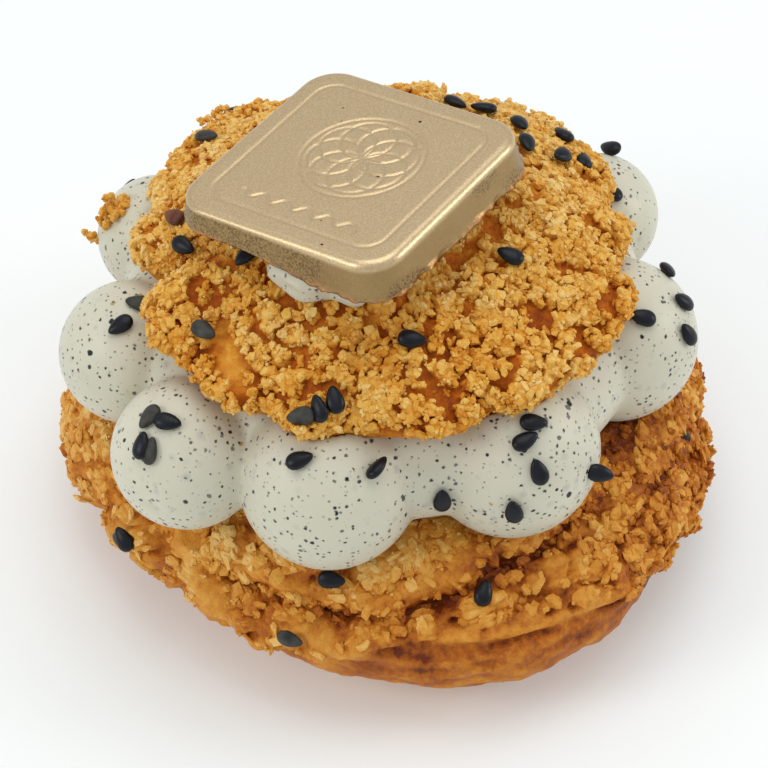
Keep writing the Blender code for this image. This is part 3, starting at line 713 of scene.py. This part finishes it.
capBearings = allRound(cap["sides"])
capClimbs = np.concatenate([np.linspace(-90, 0, cap["rimRows"], endpoint=False),
                            np.linspace(0, cap["lastClimb"], cap["domeRows"])])
capShell, capBakeAndShade, capCover = capGrid(capBearings, capClimbs)
points, faces = closedGrid(capShell, (0, 0, cap["bottomZ"]), (0, 0, capShell[-1, :, 2].mean()))
chouxCap = addPiece("chouxCap", points, faces, crustOfCap, {"bakeAndShade": withPoles(capBakeAndShade)})
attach(chouxCap, "root")
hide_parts("choux_cap")


# piped cream
cream = {
    # bearing, distance from the axis, height of the middle, radius
    "balls": ((-10, 26.8, 28.6, 9.4), (31, 29.3, 29.6, 7.4), (62, 27.8, 29.4, 7.6), (94, 27.4, 29.4, 7.7),
              (126, 27.6, 29.4, 7.5), (157, 28.6, 29.8, 7.3), (-166, 29.5, 29.0, 8.2),
              (-134, 31.0, 28.6, 8.4), (-103, 26.5, 28.3, 9.9), (-57, 25.5, 28.5, 9.9)),
    "sides": 720, "rows": 132, "heartRadius": 22.0, "coreRadius": 22.5, "coreSize": 7.6,
    "blend": 0.28, "reach": 20.0, "steps": 60, "halvings": 9, "air": 0.1,
    # dents: bearing, climb, length and width in degrees, turn, depth
    "dents": ((-130.2, -3.2, 2.6, 1.3, -60, 0.5), (-140, 34, 1.2, 1.2, 0, 0.35), (-47, 24, 1.3, 1.8, 0, 0.4)),
    "tipBearing": -160, "tipClimb": 8, "tipRise": 0.5}
creamMiddle = (base["height"] + cap["bottomZ"]) / 2


def ballPlaces():
    for bearing, reach, height, radius in cream["balls"]:
        angle = math.radians(bearing)
        yield np.array([reach * math.cos(angle), reach * math.sin(angle), height]), radius


def insideCream(points):
    # soft least of the distances to the balls and to the ring behind them, below 0 inside
    sizes = [np.linalg.norm(points - centre, axis=-1) - radius for centre, radius in ballPlaces()]
    flat = np.linalg.norm(points[..., :2], axis=-1) - cream["coreRadius"]
    sizes.append(np.hypot(flat, points[..., 2] - creamMiddle) - cream["coreSize"])
    least = np.minimum.reduce(sizes)
    return least - cream["blend"] * np.log(sum(np.exp((least - size) / cream["blend"]) for size in sizes))


def creamRoom(points):
    # above 0 between the base's shoulder and the cap's underside and rim
    reach = np.linalg.norm(points[..., :2], axis=-1)
    bearings = np.degrees(np.arctan2(points[..., 1], points[..., 0]))
    over = np.clip((reach - base["topRadius"]) / (basePlan(bearings) - base["topRadius"]), 0, 1)
    lift = base["widestZ"] + base["liftOfWidest"] * bump(bearings, base["liftBearing"], base["liftSpread"])
    shoulder = lift + (base["height"] - lift) * np.sqrt(1 - over ** 2)
    plan = capPlan(bearings)
    pastTuck = np.clip((reach - plan) / cap["tuck"] + 1, 0, 1)
    rim = cap["bottomZ"] + cap["edge"] * (1 - np.sqrt(1 - pastTuck ** 2))
    ceiling = np.where(reach > plan, 99.0, rim - points[..., 2] - cream["air"])
    return np.minimum(points[..., 2] - shoulder - cream["air"], ceiling)


def creamGrid(bearings, climbs):
    # rays from the heart line to the first place that is outside the cream or its room,
    # found by steps and then by halving
    slope = np.radians(climbs)[:, None]
    outward = onBearings(bearings, np.cos(slope) + 0 * bearings, np.sin(slope))
    start = onBearings(bearings, cream["heartRadius"] + 0 * bearings, creamMiddle)
    step = cream["reach"] / cream["steps"]
    low = np.zeros(outward.shape[:2])
    growing = np.ones(low.shape, bool)

    def isInside(length):
        here = start + outward * length[..., None]
        return (insideCream(here) < 0) & (creamRoom(here) > 0)

    for count in range(1, cream["steps"] + 1):
        growing &= isInside(np.full(low.shape, count * step))
        low = np.where(growing, count * step, low)
    high = low + step
    for turn in range(cream["halvings"]):
        middle = (low + high) / 2
        inside = isInside(middle)
        low, high = np.where(inside, middle, low), np.where(inside, high, middle)
    grid = start + outward * low[..., None]
    dents = 0.0
    for bearing, climb, length, width, turn, depth in cream["dents"]:
        angle = math.radians(turn)
        across, up = turnBetween(bearings, bearing)[None, :], climbs[:, None] - climb
        along = across * math.cos(angle) + up * math.sin(angle)
        beside = -across * math.sin(angle) + up * math.cos(angle)
        dents = dents + depth * np.exp(-(along / length) ** 2 - (beside / width) ** 2)
    tip = cream["tipRise"] * np.exp(-(turnBetween(bearings, cream["tipBearing"])[None, :] / 1.6) ** 2
                                    - ((climbs[:, None] - cream["tipClimb"]) / 2.4) ** 2)
    wave = 0.14 * (softNoise(grid, 6.0, 201) - 0.5)
    return grid + outward * (tip + wave - dents)[..., None]


creamBearings = allRound(cream["sides"])
creamClimbs = np.linspace(-89, 89, cream["rows"])
creamShell = creamGrid(creamBearings, creamClimbs)
lowest, highest = [(0, 0, creamShell[row, :, 2].mean()) for row in (0, -1)]
points, faces = closedGrid(creamShell, lowest, highest)
creamRing = addPiece("creamFilling", points, faces, sesameCream)
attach(creamRing, "root")
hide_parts("cream_filling")


# chocolate square
plaque = {
    "sides": 640, "underRings": 6, "sideRows": 22, "edgeRows": 12, "topRings": 96,
    "side": 28.0, "thickness": 4.7, "corner": 4.2, "edge": 1.0, "draft": 0.5,
    "centre": (-3.7, -4.1, 54.8), "normal": (-0.13, 0.085, 0.988), "bearing": -35.5,
    "grooveWidth": 0.2, "grooveDepth": 0.11,
    # the chipped band over the lower edge, how far the chips reach out and up, how much
    # thinner it gets towards one corner, as a share, and that corner's angle on the face
    "chipBand": 0.9, "chipReach": 0.9, "chipRise": 0.8, "taper": 0.4, "taperAngle": -135,
    "borderInset": 2.7, "circles": 8, "circleRadius": 3.1, "ringRadius": 6.9, "rosette": (0.6, 1.4),
    "waveLine": -9.0, "waveHeight": 0.5, "waveLength": 2.9, "waveReach": 7.9}


def plaqueFrame():
    # the top face's middle, and its axes with X along the side nearest the front
    normal = np.array(plaque["normal"]) / np.linalg.norm(plaque["normal"])
    angle = math.radians(plaque["bearing"])
    heading = np.array([math.cos(angle), math.sin(angle), 0])
    side = heading - normal * (heading @ normal)
    side = side / np.linalg.norm(side)
    return np.array(plaque["centre"]), np.stack([side, np.cross(normal, side), normal])


def squareReach(angles, half, corner):
    # distance from the middle to a square with round corners
    wide = np.maximum(np.abs(np.cos(angles)), np.abs(np.sin(angles)))
    slim = np.minimum(np.abs(np.cos(angles)), np.abs(np.sin(angles)))
    inner = half - corner
    root = np.clip((inner * (wide + slim)) ** 2 - 2 * inner ** 2 + corner ** 2, 0, None)
    return np.where(half * slim / wide <= inner, half / wide, inner * (wide + slim) + np.sqrt(root))


def squareAway(x, y, half, corner):
    # signed distance to that outline
    flat = np.stack([np.abs(x), np.abs(y)], axis=-1) - (half - corner)
    return np.linalg.norm(np.clip(flat, 0, None), axis=-1) + np.minimum(flat.max(axis=-1), 0) - corner


def engraving(x, y):
    # depth of the thin lines: a border, a rosette of circles in a ring, and a wave
    def line(distance):
        return np.exp(-(distance / plaque["grooveWidth"]) ** 2)

    middleX, middleY = plaque["rosette"]
    fromMiddle = np.hypot(x - middleX, y - middleY)
    lines = line(squareAway(x, y, plaque["side"] / 2 - plaque["borderInset"], plaque["corner"] * 0.6))
    lines = np.maximum(lines, line(fromMiddle - plaque["ringRadius"]))
    for count in range(plaque["circles"]):
        angle = 2 * math.pi * (count + 0.5) / plaque["circles"]
        away = np.hypot(x - middleX - plaque["circleRadius"] * math.cos(angle),
                        y - middleY - plaque["circleRadius"] * math.sin(angle))
        lines = np.maximum(lines, line(away - plaque["circleRadius"]))
    turn = 2 * math.pi * x / plaque["waveLength"]
    wave = plaque["waveLine"] + plaque["waveHeight"] * np.sin(turn)
    slope = plaque["waveHeight"] * 2 * math.pi / plaque["waveLength"] * np.cos(turn)
    ends = smoothStep(plaque["waveReach"] - np.abs(x), 0, 0.3)
    lines = np.maximum(lines, line((y - wave) / np.sqrt(1 + slope ** 2)) * ends)
    return plaque["grooveDepth"] * lines


def plaqueSection():
    # rows of (half side, corner, share of the reach, height) from the bottom's middle
    # over the side and the rounded top edge to the top's middle
    half, corner = plaque["side"] / 2, plaque["corner"]
    foot = half + plaque["draft"]
    rows = [(foot, corner + plaque["draft"], share, -plaque["thickness"])
            for share in np.linspace(0, 1, plaque["underRings"] + 1)[1:-1]]
    for share in np.linspace(0, 1, plaque["sideRows"]):
        spread = plaque["draft"] * (1 - share)
        rows.append((half + spread, corner + spread, 1.0,
                     -plaque["thickness"] + (plaque["thickness"] - plaque["edge"]) * share))
    for turn in np.linspace(0, math.pi / 2, plaque["edgeRows"] + 1)[1:]:
        spread = plaque["edge"] * (math.cos(turn) - 1)
        rows.append((half + spread, corner + spread, 1.0, plaque["edge"] * (math.sin(turn) - 1)))
    inner = half - plaque["edge"]
    rows += [(inner, corner - plaque["edge"], share, 0.0)
             for share in np.linspace(1, 0, plaque["topRings"] + 1)[1:-1]]
    return np.array(rows)


def evenAngles(half, corner, sides):
    # angles whose points on the outline lie at equal steps along it
    angles = np.linspace(-math.pi, math.pi, 4001)
    reach = squareReach(angles, half, corner)
    x, y = reach * np.cos(angles), reach * np.sin(angles)
    length = np.concatenate([[0], np.cumsum(np.hypot(np.diff(x), np.diff(y)))])
    return np.interp(np.arange(sides) / sides * length[-1], length, angles)


def addPlaque():
    angles = evenAngles(plaque["side"] / 2, plaque["corner"], plaque["sides"])
    half, corner, share, level = [column[:, None] for column in plaqueSection().T]
    reach = squareReach(angles[None, :], half, corner) * share
    x, y = reach * np.cos(angles), reach * np.sin(angles)
    z = level + 0 * x
    flat = np.stack([x, y, z], axis=-1)
    low = smoothStep(-z, plaque["thickness"] - plaque["chipBand"], plaque["thickness"])
    isSide = smoothStep(-z, plaque["edge"] * 0.5, plaque["edge"] * 1.3) * (share == 1)
    # the lower edge is chipped, most along the right front
    chip = 0.6 * grainNoise(flat * np.array([1, 1, 0.5]), 2.1, 301) + 0.4 * grainNoise(flat, 0.8, 303)
    rightFront = smoothStep(np.cos(angles), -0.2, 0.7)[None, :]
    ragged = low * (share == 1) * (0.3 + 1.7 * rightFront) * (chip - 0.45)
    # the powder is worn off most along the left front, and in smears elsewhere
    smears = rightFront * smoothStep(softNoise(flat, 5.0, 341), 0.55, 0.72)
    worn = isSide * np.clip((1 - 0.85 * rightFront) * (0.55 + softNoise(flat, 3.0, 351)) + smears, 0, 1)
    swell = isSide * 0.16 * (softNoise(flat, 4.0, 311) - 0.5)
    grow = 1 + (ragged * plaque["chipReach"] + swell) / np.maximum(reach, 1)
    flat[..., :2] *= grow[..., None]
    lifted = low * (share == 1) * plaque["chipRise"] * (softNoise(flat, 1.9, 321) - 0.4)
    flat[..., 2] += lifted * (0.3 + 0.7 * rightFront)
    # it gets thinner towards the left corner
    fromCorner = angles - math.radians(plaque["taperAngle"])
    slim = plaque["taper"] * smoothStep(np.cos(fromCorner), 0.3, 1.0)[None, :]
    flat[..., 2] *= 1 - slim * share ** 2 * (level < 0)
    onTop = (level == 0) * 1.0
    flat[..., 2] -= engraving(x, y) * onTop
    flat[..., 2] += onTop * 0.05 * (softNoise(flat, 5.0, 331) - 0.5)
    centre, axes = plaqueFrame()
    grid = centre + flat @ axes
    broken = low * (share == 1) * smoothStep(chip + 0.12 * rightFront, 0.5, 0.75)
    poles = [centre + np.array([0, 0, height]) @ axes for height in (-plaque["thickness"], 0)]
    points, faces = closedGrid(grid, poles[0], poles[1])
    return addPiece("chocolateSquare", points, faces, goldLustre,
                    {"side": withPoles(isSide), "worn": withPoles(worn), "broken": withPoles(broken)})


square = addPlaque()
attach(square, "root")
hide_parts("chocolate_plaque")


# dab of cream that holds the square
dab = {"centre": (-4.4, -10.6), "radius": 7.4, "lobes": ((0.5, 3, -20), (0.3, 5, 0), (0.25, 9, 40)),
       "sides": 160, "rows": 20, "rings": 6, "innermost": 0.15, "room": 0.2, "gap": 0.1,
       # as shares of the reach: how far the edge bulges and how uneven it is
       "bulge": 0.0625, "uneven": 0.12, "unevenSize": 2.4}


def plaqueUnderside(x, y):
    centre, axes = plaqueFrame()
    foot = centre - axes[2] * plaque["thickness"]
    return foot[2] - (axes[2][0] * (x - foot[0]) + axes[2][1] * (y - foot[1])) / axes[2][2]


def capTop(x, y):
    reach = np.hypot(x, y)
    plan = capPlan(np.degrees(np.arctan2(y, x)))
    smooth = np.stack([x, y, domeHeight(reach, plan)], axis=-1)
    return smooth[..., 2] + crumbRelief(smooth, cap["seed"]) * (reach / plan) ** crumb["fade"]


def addDab():
    # from the middle of its bottom on the cap, round a bulging edge, to the middle of its top
    bearings = allRound(dab["sides"])
    outline = dab["radius"] + lobed(bearings, dab["lobes"])
    turns = np.linspace(-math.pi / 2, math.pi / 2, dab["rows"])[:, None]
    inward = np.linspace(dab["innermost"], 1, dab["rings"])[:, None]
    share = np.concatenate([inward[:-1], 1 + dab["bulge"] * np.cos(turns), inward[-2::-1]])
    level = np.concatenate([0 * inward[:-1], (1 + np.sin(turns)) / 2, 0 * inward[:-1] + 1])
    x = dab["centre"][0] + share * outline * np.cos(np.radians(bearings))
    y = dab["centre"][1] + share * outline * np.sin(np.radians(bearings))
    low, high = capTop(x, y) + dab["room"], plaqueUnderside(x, y) - dab["gap"]
    grid = np.stack([x, y, low + (high - low) * level], axis=-1)
    edge = np.exp(-((level - 0.5) / 0.4) ** 2) * (share > 0.99)
    push = edge * dab["uneven"] * (grainNoise(grid, dab["unevenSize"], 401) - 0.5)
    grid[..., :2] += (grid[..., :2] - np.array(dab["centre"])) * push[..., None]
    points, faces = closedGrid(grid, grid[0].mean(axis=0), grid[-1].mean(axis=0))
    return addPiece("creamDab", points, faces, sesameCream)


creamDab = addDab()
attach(creamDab, "root")
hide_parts("cream_dab")


# sesame seeds: bearing, climb, the turn of the sharp end from uphill and, where
# they differ from 0, the roll about its length, how much higher it lies and how far its
# sharp end stands off
seeds = {
    "length": 3.1, "width": 1.95, "thickness": 1.15, "sunk": 0.1, "around": 16, "along": 12,
    "base": {"black": ((-144, 10, 110, -40, 0.1), (-143, 12, 55, -35, 0.45), (-100, 47, -90), (-72, 42, -25),
                       (-12, 28, 15, 60, -2.0), (38, 25, 30), (80, 8, 80), (122, 32, -40), (162, 12, 110)),
             "grey": ((-106, 10, -90),)},
    "cream": {"black": ((-160, 39, 140), (-132.5, 30.5, -80), (-134, 19, 22), (-106, 36, -45),
                        (-92, 35, -70, 75), (-78, 0, 0), (-58.5, 43, -112), (-61.5, 36.5, -68, 15),
                        (-61, 20.5, 12), (-66, 1, 10), (-49, 2, -131, 0, 0.5, 55), (-18, 42, 55),
                        (-9, 26, 15), (-14, 17, 10), (-1, 30, 60), (36, 30, -125, 55), (60, 4, 40),
                        (92, 12, -60), (124, 34, 100), (150, 10, 20), (24, 46, 10), (110, -8, -30)),
              "grey": ((-164, 51, 80), (-136, 28, -160), (-132.3, 19, 12, 25, -0.3))},
    "cap": {"black": ((-169, 30, -85), (-144.5, 51.3, 190), (-82, 42, -95), (-101, 19, 5),
                      (-104, 14.5, 15, 35, -0.1), (-38, 53, 35), (66, 41, 80), (57, 38, -80), (40, 42, 50),
                      (28, 49, 75), (24, 37, 40), (34, 26, -105, 8), (26, 20, -110, 0, -0.75), (96, -12, 60)),
            "grey": ((143, 17, 20), (-138, 25, -95), (-107, 9.5, 112)),
            "brown": ((-178, 32, 125),)},
    # how high above its shell's mean surface a seed lies
    "lift": {"base": 0.6, "cream": 0.0, "cap": 0.75}}


def seedShape():
    # a flat drop: half width sqrt(1 - t^2) * (1 - 0.3 t) along its length, sharper at t = 1
    t = -np.cos(np.linspace(0, math.pi, seeds["along"] + 2))[1:-1, None]
    angles = np.radians(allRound(seeds["around"]))[None, :]
    wide = np.sqrt(1 - t ** 2) * (1 - 0.3 * t)
    x = t * seeds["length"] / 2 + 0 * angles
    y = np.cos(angles) * wide * seeds["width"] / 2
    z = np.sin(angles) * wide ** 0.8 * seeds["thickness"] / 2
    grid = np.stack([x, -y, z], axis=-1)
    return closedGrid(grid, (-seeds["length"] / 2, 0, 0), (seeds["length"] / 2, 0, 0))


def seedPlaces(host, climbs, shell, normals, kind):
    # yields each seed's middle and its axes: sharp end, sideways, outward
    for bearing, climb, turn, *more in seeds[host].get(kind, ()):
        roll, raised, pitch = (*more, 0, 0, 0)[:3]
        normal = between(normals, climbs, bearing, climb)
        normal = normal / np.linalg.norm(normal)
        uphill = np.array([0, 0, 1]) - normal * normal[2]
        uphill = uphill / np.linalg.norm(uphill)
        beside = np.cross(normal, uphill)
        angle = math.radians(turn)
        along = uphill * math.cos(angle) + beside * math.sin(angle)
        angle = math.radians(pitch)
        sharp = along * math.cos(angle) + normal * math.sin(angle)
        level = normal * math.cos(angle) - along * math.sin(angle)
        angle = math.radians(roll)
        over = level * math.cos(angle) + np.cross(level, sharp) * math.sin(angle)
        half = math.hypot(seeds["thickness"] / 2 * math.cos(angle), seeds["width"] / 2 * math.sin(angle))
        lift = half - seeds["sunk"] + seeds["lift"][host] + raised
        middle = between(shell, climbs, bearing, climb) + normal * lift
        yield middle, np.stack([sharp, np.cross(over, sharp), over])


def smoothNormals(grid, turns=12, step=3):
    # the shell without its crumbs, as repeated means over wide steps, and its normals
    spread = grid.copy()
    for turn in range(turns):
        spread = (np.roll(spread, step, axis=1) + spread + np.roll(spread, -step, axis=1)) / 3
        spread[step:-step] = (spread[:-2 * step] + spread[step:-step] + spread[2 * step:]) / 3
    return spread, gridNormals(spread)


hosts = {}
for host, climbs, shell in (("base", baseClimbs, baseShell), ("cream", creamClimbs, creamShell),
                            ("cap", capClimbs, capShell)):
    spread, normals = smoothNormals(shell)
    hosts[host] = (climbs, shell if host == "cream" else spread, normals)
seedCentres = []
shape, faces = seedShape()
for kind in ("black", "grey", "brown"):
    bodies, parts = [], []
    for host, (climbs, shell, normals) in hosts.items():
        for middle, axes in seedPlaces(host, climbs, shell, normals, kind):
            parts += [part + len(shape) * len(bodies) for part in faces]
            bodies.append(middle + shape @ axes)
            seedCentres.append(middle)
    piece = addPiece(kind + "SesameSeeds", np.concatenate(bodies), parts, seedSkins[kind])
    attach(piece, "root")
seedCentres = np.array(seedCentres)


# biscuit crumbs: nubs baked onto the shells, and small grains on the nubs
crumbs = {
    # how many places are tried, and the least cover, drawn between these, that keeps one
    "tries": 60000, "leastCover": (0.1, 0.6),
    # how many planes break a nub off, how far they lie from its middle, and how much
    # larger it is made to make up for them
    "breaks": 3, "breakAt": 0.68, "swollen": 1.1,
    # loose crumbs: spread, pull outwards, and half size as the least and what is added
    "looseSpread": 0.45, "looseTurn": 2.0, "looseHalf": (0.3, 0.25),
    # how crooked a grain is, and how its bake differs from its nub's
    "crooked": (0.55, 1.2), "grainSpread": (-0.14, 0.2),
    # spacing of the tries, least distance between nubs, half widths and half heights, the
    # rounded box's power, how far a nub leans, how high its middle lies as a share of the
    # half height, how uneven it is; then its bake, how much painted light makes it paler
    # towards its top, how it differs from nub to nub and follows the shell's; then the grains
    # on the nubs
    "cap": {"seed": 500, "spacing": 0.4, "least": 0.6, "wide": (0.3, 0.7), "tall": (0.3, 0.52), "power": 3.4,
            "lean": 0.2, "lift": (-0.9, -0.1), "uneven": 0.24, "most": 4150,
            "seedRoom": 1.3, "bakeAndShade": 0.66, "rise": 0.24, "spread": 0.22, "share": 0.7,
            "grains": 6000, "grainHalf": (0.09, 0.2),
            # crumbs that lie loose: middle, radius, how many
            "loose": (((-30.8, 9.9, 35.6), 1.7, 46), ((-32.2, 9.2, 33.7), 0.9, 14),
                      ((-34.2, 10.6, 30.5), 0.7, 10), ((-21.3, 19.8, 40.0), 0.3, 3),
                      ((-20.7, 20.5, 40.1), 0.3, 3), ((-20.1, 21.1, 40.3), 0.25, 3),
                      ((-19.4, 21.5, 40.5), 0.25, 3), ((-18.8, 21.6, 40.6), 0.2, 2))},
    "base": {"seed": 600, "spacing": 0.45, "least": 0.7, "wide": (0.38, 1.1), "tall": (0.28, 0.46),
             "power": 3.2, "lean": 0.22, "lift": (-1.1, -0.25), "uneven": 0.22, "most": 4100,
             "seedRoom": 1.5, "bakeAndShade": 0.49, "rise": 0.16, "spread": 0.24, "share": 1.1,
             "grains": 5000, "grainHalf": (0.08, 0.18), "loose": ()}}


def boxShape(cuts):
    # a cube from -1 to 1 with its sides cut into squares
    cube = bmesh.new()
    bmesh.ops.create_cube(cube, size=2.0)
    if cuts:
        bmesh.ops.subdivide_edges(cube, edges=cube.edges[:], cuts=cuts, use_grid_fill=True)
    cube.verts.index_update()
    points = np.array([vertex.co for vertex in cube.verts])
    faces = np.array([[vertex.index for vertex in face.verts] for face in cube.faces])
    cube.free()
    return points, faces


def roundedBox(points, power):
    # points brought onto |x|^p + |y|^p + |z|^p = 1
    return points / (np.abs(points) ** power).sum(axis=-1, keepdims=True) ** (1 / power)


def randomAxes(ups, lean, random):
    # for each normal, an axis that leans off it at random and two across that one
    up = ups + lean * random.normal(size=ups.shape)
    up /= np.linalg.norm(up, axis=-1, keepdims=True)
    side = np.cross(up, random.normal(size=ups.shape))
    side /= np.linalg.norm(side, axis=-1, keepdims=True)
    return np.stack([side, np.cross(up, side), up], axis=1)


def scatter(grid, cover, spacing, random):
    # grid points picked by area and cover, at most one to a cube of the spacing
    across, up = [np.linalg.norm(np.gradient(grid, axis=axis), axis=-1) for axis in (1, 0)]
    weight = (across * up * cover).ravel()
    tries = random.choice(weight.size, size=crumbs["tries"], p=weight / weight.sum())
    keys = np.floor(grid.reshape(-1, 3)[tries] / spacing).astype(np.int64)
    return tries[np.sort(np.unique(keys, axis=0, return_index=True)[1])]


def spaced(places, least):
    # marks the first place and each next one that is no nearer than this to the marked
    flat = places.astype(np.float32)
    squares = (flat ** 2).sum(axis=1)
    near = squares[:, None] + squares[None] - 2 * flat @ flat.T < least ** 2
    kept = np.zeros(len(places), bool)
    for index, row in enumerate(near):
        kept[index] = not (row & kept).any()
    return kept


def addCopies(name, copies, faces, material, bakeAndShade):
    # one flat-shaded piece from many copies of a shape, given as (copy, point, 3)
    offsets = np.arange(len(copies)) * copies.shape[1]
    faces = (faces[None] + offsets[:, None, None]).reshape(-1, 4)
    piece = addPiece(name, copies.reshape(-1, 3), [faces], material, {"bakeAndShade": np.clip(bakeAndShade, 0, 1)})
    piece.data.shade_flat()
    return piece


def addCrumbs(host, grid, cover, bakeAndShade, hidden, material):
    # a nub is a rounded box leaning off the surface, broken off along planes and painted
    # paler towards its top as painted light; grains are small crooked cubes stuck to the upper
    # half of the nubs, painted paler higher up as well
    look = crumbs[host]
    random = np.random.default_rng(look["seed"])
    chosen = scatter(grid, cover, look["spacing"], random)
    centres = grid.reshape(-1, 3)[chosen]
    keep = (cover.ravel()[chosen] > random.uniform(*crumbs["leastCover"], len(chosen))) & ~hidden(centres)
    keep &= np.linalg.norm(centres[:, None, :] - seedCentres[None], axis=-1).min(axis=1) > look["seedRoom"]
    chosen = chosen[keep]
    chosen = chosen[spaced(grid.reshape(-1, 3)[chosen], look["least"])][:look["most"]]
    count = len(chosen)
    ups = smoothNormals(grid)[1].reshape(-1, 3)[chosen]
    narrow, wide = look["wide"]
    half = np.stack([narrow + (wide - narrow) * random.uniform(size=count) ** 1.5,
                     narrow + (wide - narrow) * random.uniform(size=count) ** 1.5,
                     random.uniform(*look["tall"], count)], axis=-1)
    centres = grid.reshape(-1, 3)[chosen] + ups * (half[:, 2] * random.uniform(*look["lift"], count))[:, None]
    least, more = crumbs["looseHalf"]
    for place, radius, number in look["loose"]:
        spread = radius * crumbs["looseSpread"] * random.normal(size=(number, 3))
        centres = np.concatenate([centres, place + spread])
        outward = crumbs["looseTurn"] * np.array(place) / np.linalg.norm(place)
        outward = random.normal(size=(number, 3)) + outward
        ups = np.concatenate([ups, outward / np.linalg.norm(outward, axis=-1, keepdims=True)])
        half = np.concatenate([half, random.uniform(least, least + more * min(radius, 1), (number, 3))])
    shellBakeAndShade = bakeAndShade.ravel()[chosen]
    followed = np.concatenate([shellBakeAndShade - shellBakeAndShade.mean(), np.zeros(len(centres) - count)])
    count = len(centres)
    axes = randomAxes(ups, look["lean"], random)
    shape, faces = boxShape(1)
    shape = roundedBox(shape, look["power"])
    # points beyond a plane are drawn back to it along their line from the middle
    planes = random.normal(size=(count, crumbs["breaks"], 3))
    planes /= np.linalg.norm(planes, axis=-1, keepdims=True)
    past = np.maximum(np.einsum("vi,nki->nvk", shape, planes), crumbs["breakAt"])
    broken = crumbs["swollen"] * crumbs["breakAt"] / past.max(axis=2)[..., None]
    local = shape[None] * half[:, None, :] * broken
    local = local * (1 + random.uniform(-1, 1, (count, len(shape), 1)) * look["uneven"])
    points = centres[:, None, :] + np.einsum("nvi,nij->nvj", local, axes)
    own = look["bakeAndShade"] + look["spread"] * random.uniform(-0.5, 0.5, count) + look["share"] * followed
    # each nub is painted paler towards its top: painted light
    shade = own[:, None] + look["rise"] * (shape[None, :, 2] * 0.5)
    nubs = addCopies(host + "Crumbs", points, faces, material, shade)

    picked = random.integers(0, count, look["grains"])
    spot = roundedBox(random.uniform(-1, 1, (look["grains"], 3)), look["power"])
    spot[:, 2] = np.abs(spot[:, 2])
    places = centres[picked] + np.einsum("ni,nij->nj", spot * half[picked], axes[picked])
    shape, faces = boxShape(0)
    size = random.uniform(*look["grainHalf"], (look["grains"], 1, 1))
    local = shape[None] * random.uniform(*crumbs["crooked"], (look["grains"], len(shape), 3)) * size
    turned = randomAxes(random.normal(size=(look["grains"], 3)), 0.0, random)
    points = places[:, None, :] + np.einsum("nvi,nij->nvj", local, turned)
    # grains higher up a nub are painted paler: painted light
    shade = own[picked] + look["rise"] * 0.5 * spot[:, 2]
    shade = shade + random.uniform(*crumbs["grainSpread"], look["grains"])
    grains = addCopies(host + "Grains", points, faces, material, np.repeat(shade, len(shape)))
    for piece in (nubs, grains):
        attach(piece, "root")


def underPlaque(places):
    # true well inside the square's footprint
    centre, axes = plaqueFrame()
    local = (places - centre) @ axes.T
    return squareAway(local[:, 0], local[:, 1], plaque["side"] / 2 - 3.5, plaque["corner"]) < 0


def underCream(places):
    return insideCream(places) < -0.3


addCrumbs("cap", capShell, capCover, capBakeAndShade, underPlaque, crustOfCap)
addCrumbs("base", baseShell, baseCover, baseBakeAndShade, underCream, crustOfBase)


# studio: white paper with a little light from below, soft light from all round, a
# softbox overhead and one on either side
studio = {
    "floorSize": 6.0, "floor": "e8ecec", "floorRough": 0.9, "floorGlow": "f5f6ee", "floorStrength": 0.17,
    "world": "f4f6f9", "worldStrength": 0.65,
    # place, size and power of each softbox, and what they aim at
    "boxes": (((0.03, 0.12, 0.7), 0.6, 1.7), ((-0.37, -0.17, 0.28), 0.16, 0.42),
              ((0.45, 0.02, 0.2), 0.16, 0.42)),
    "boxTarget": (0, 0, 0.03),
    "cameraPlace": (0.0, -0.22924, 0.25378), "cameraTarget": (0.0, 0.0, 0.0164), "lens": 130.7,
    "nearest": 0.01}


def addStudio():
    floorMaterial, _, shader = newMaterial("mattePaper")
    shader.inputs["Base Color"].default_value = hexColour(studio["floor"])
    shader.inputs["Roughness"].default_value = studio["floorRough"]
    shader.inputs["Emission Color"].default_value = hexColour(studio["floorGlow"])
    shader.inputs["Emission Strength"].default_value = studio["floorStrength"]
    bpy.ops.mesh.primitive_plane_add(size=studio["floorSize"])
    floor = bpy.context.object
    floor.name = "floor"
    floor.data.materials.append(floorMaterial)
    world = bpy.data.worlds.new("studioWorld")
    world.use_nodes = True
    background = world.node_tree.nodes["Background"]
    background.inputs["Color"].default_value = hexColour(studio["world"])
    background.inputs["Strength"].default_value = studio["worldStrength"]
    bpy.context.scene.world = world
    for place, size, power in studio["boxes"]:
        light = bpy.data.lights.new("softbox", "AREA")
        light.size = size
        light.energy = power
        softbox = bpy.data.objects.new("softbox", light)
        softbox.location = place
        aim(softbox, studio["boxTarget"])
        bpy.context.scene.collection.objects.link(softbox)


def aim(obj, target):
    # turns the object's -Z to the target with +Y upwards
    direction = np.array(target) - np.array(obj.location)
    obj.rotation_euler = Vector(direction).to_track_quat("-Z", "Y").to_euler()


def addCamera():
    camera = bpy.data.objects.new("camera", bpy.data.cameras.new("camera"))
    camera.location = studio["cameraPlace"]
    aim(camera, studio["cameraTarget"])
    camera.data.lens = studio["lens"]
    camera.data.clip_start = studio["nearest"]
    bpy.context.scene.collection.objects.link(camera)
    bpy.context.scene.camera = camera


addStudio()
addCamera()
bpy.context.scene.view_settings.view_transform = "Standard"
print("studio made")
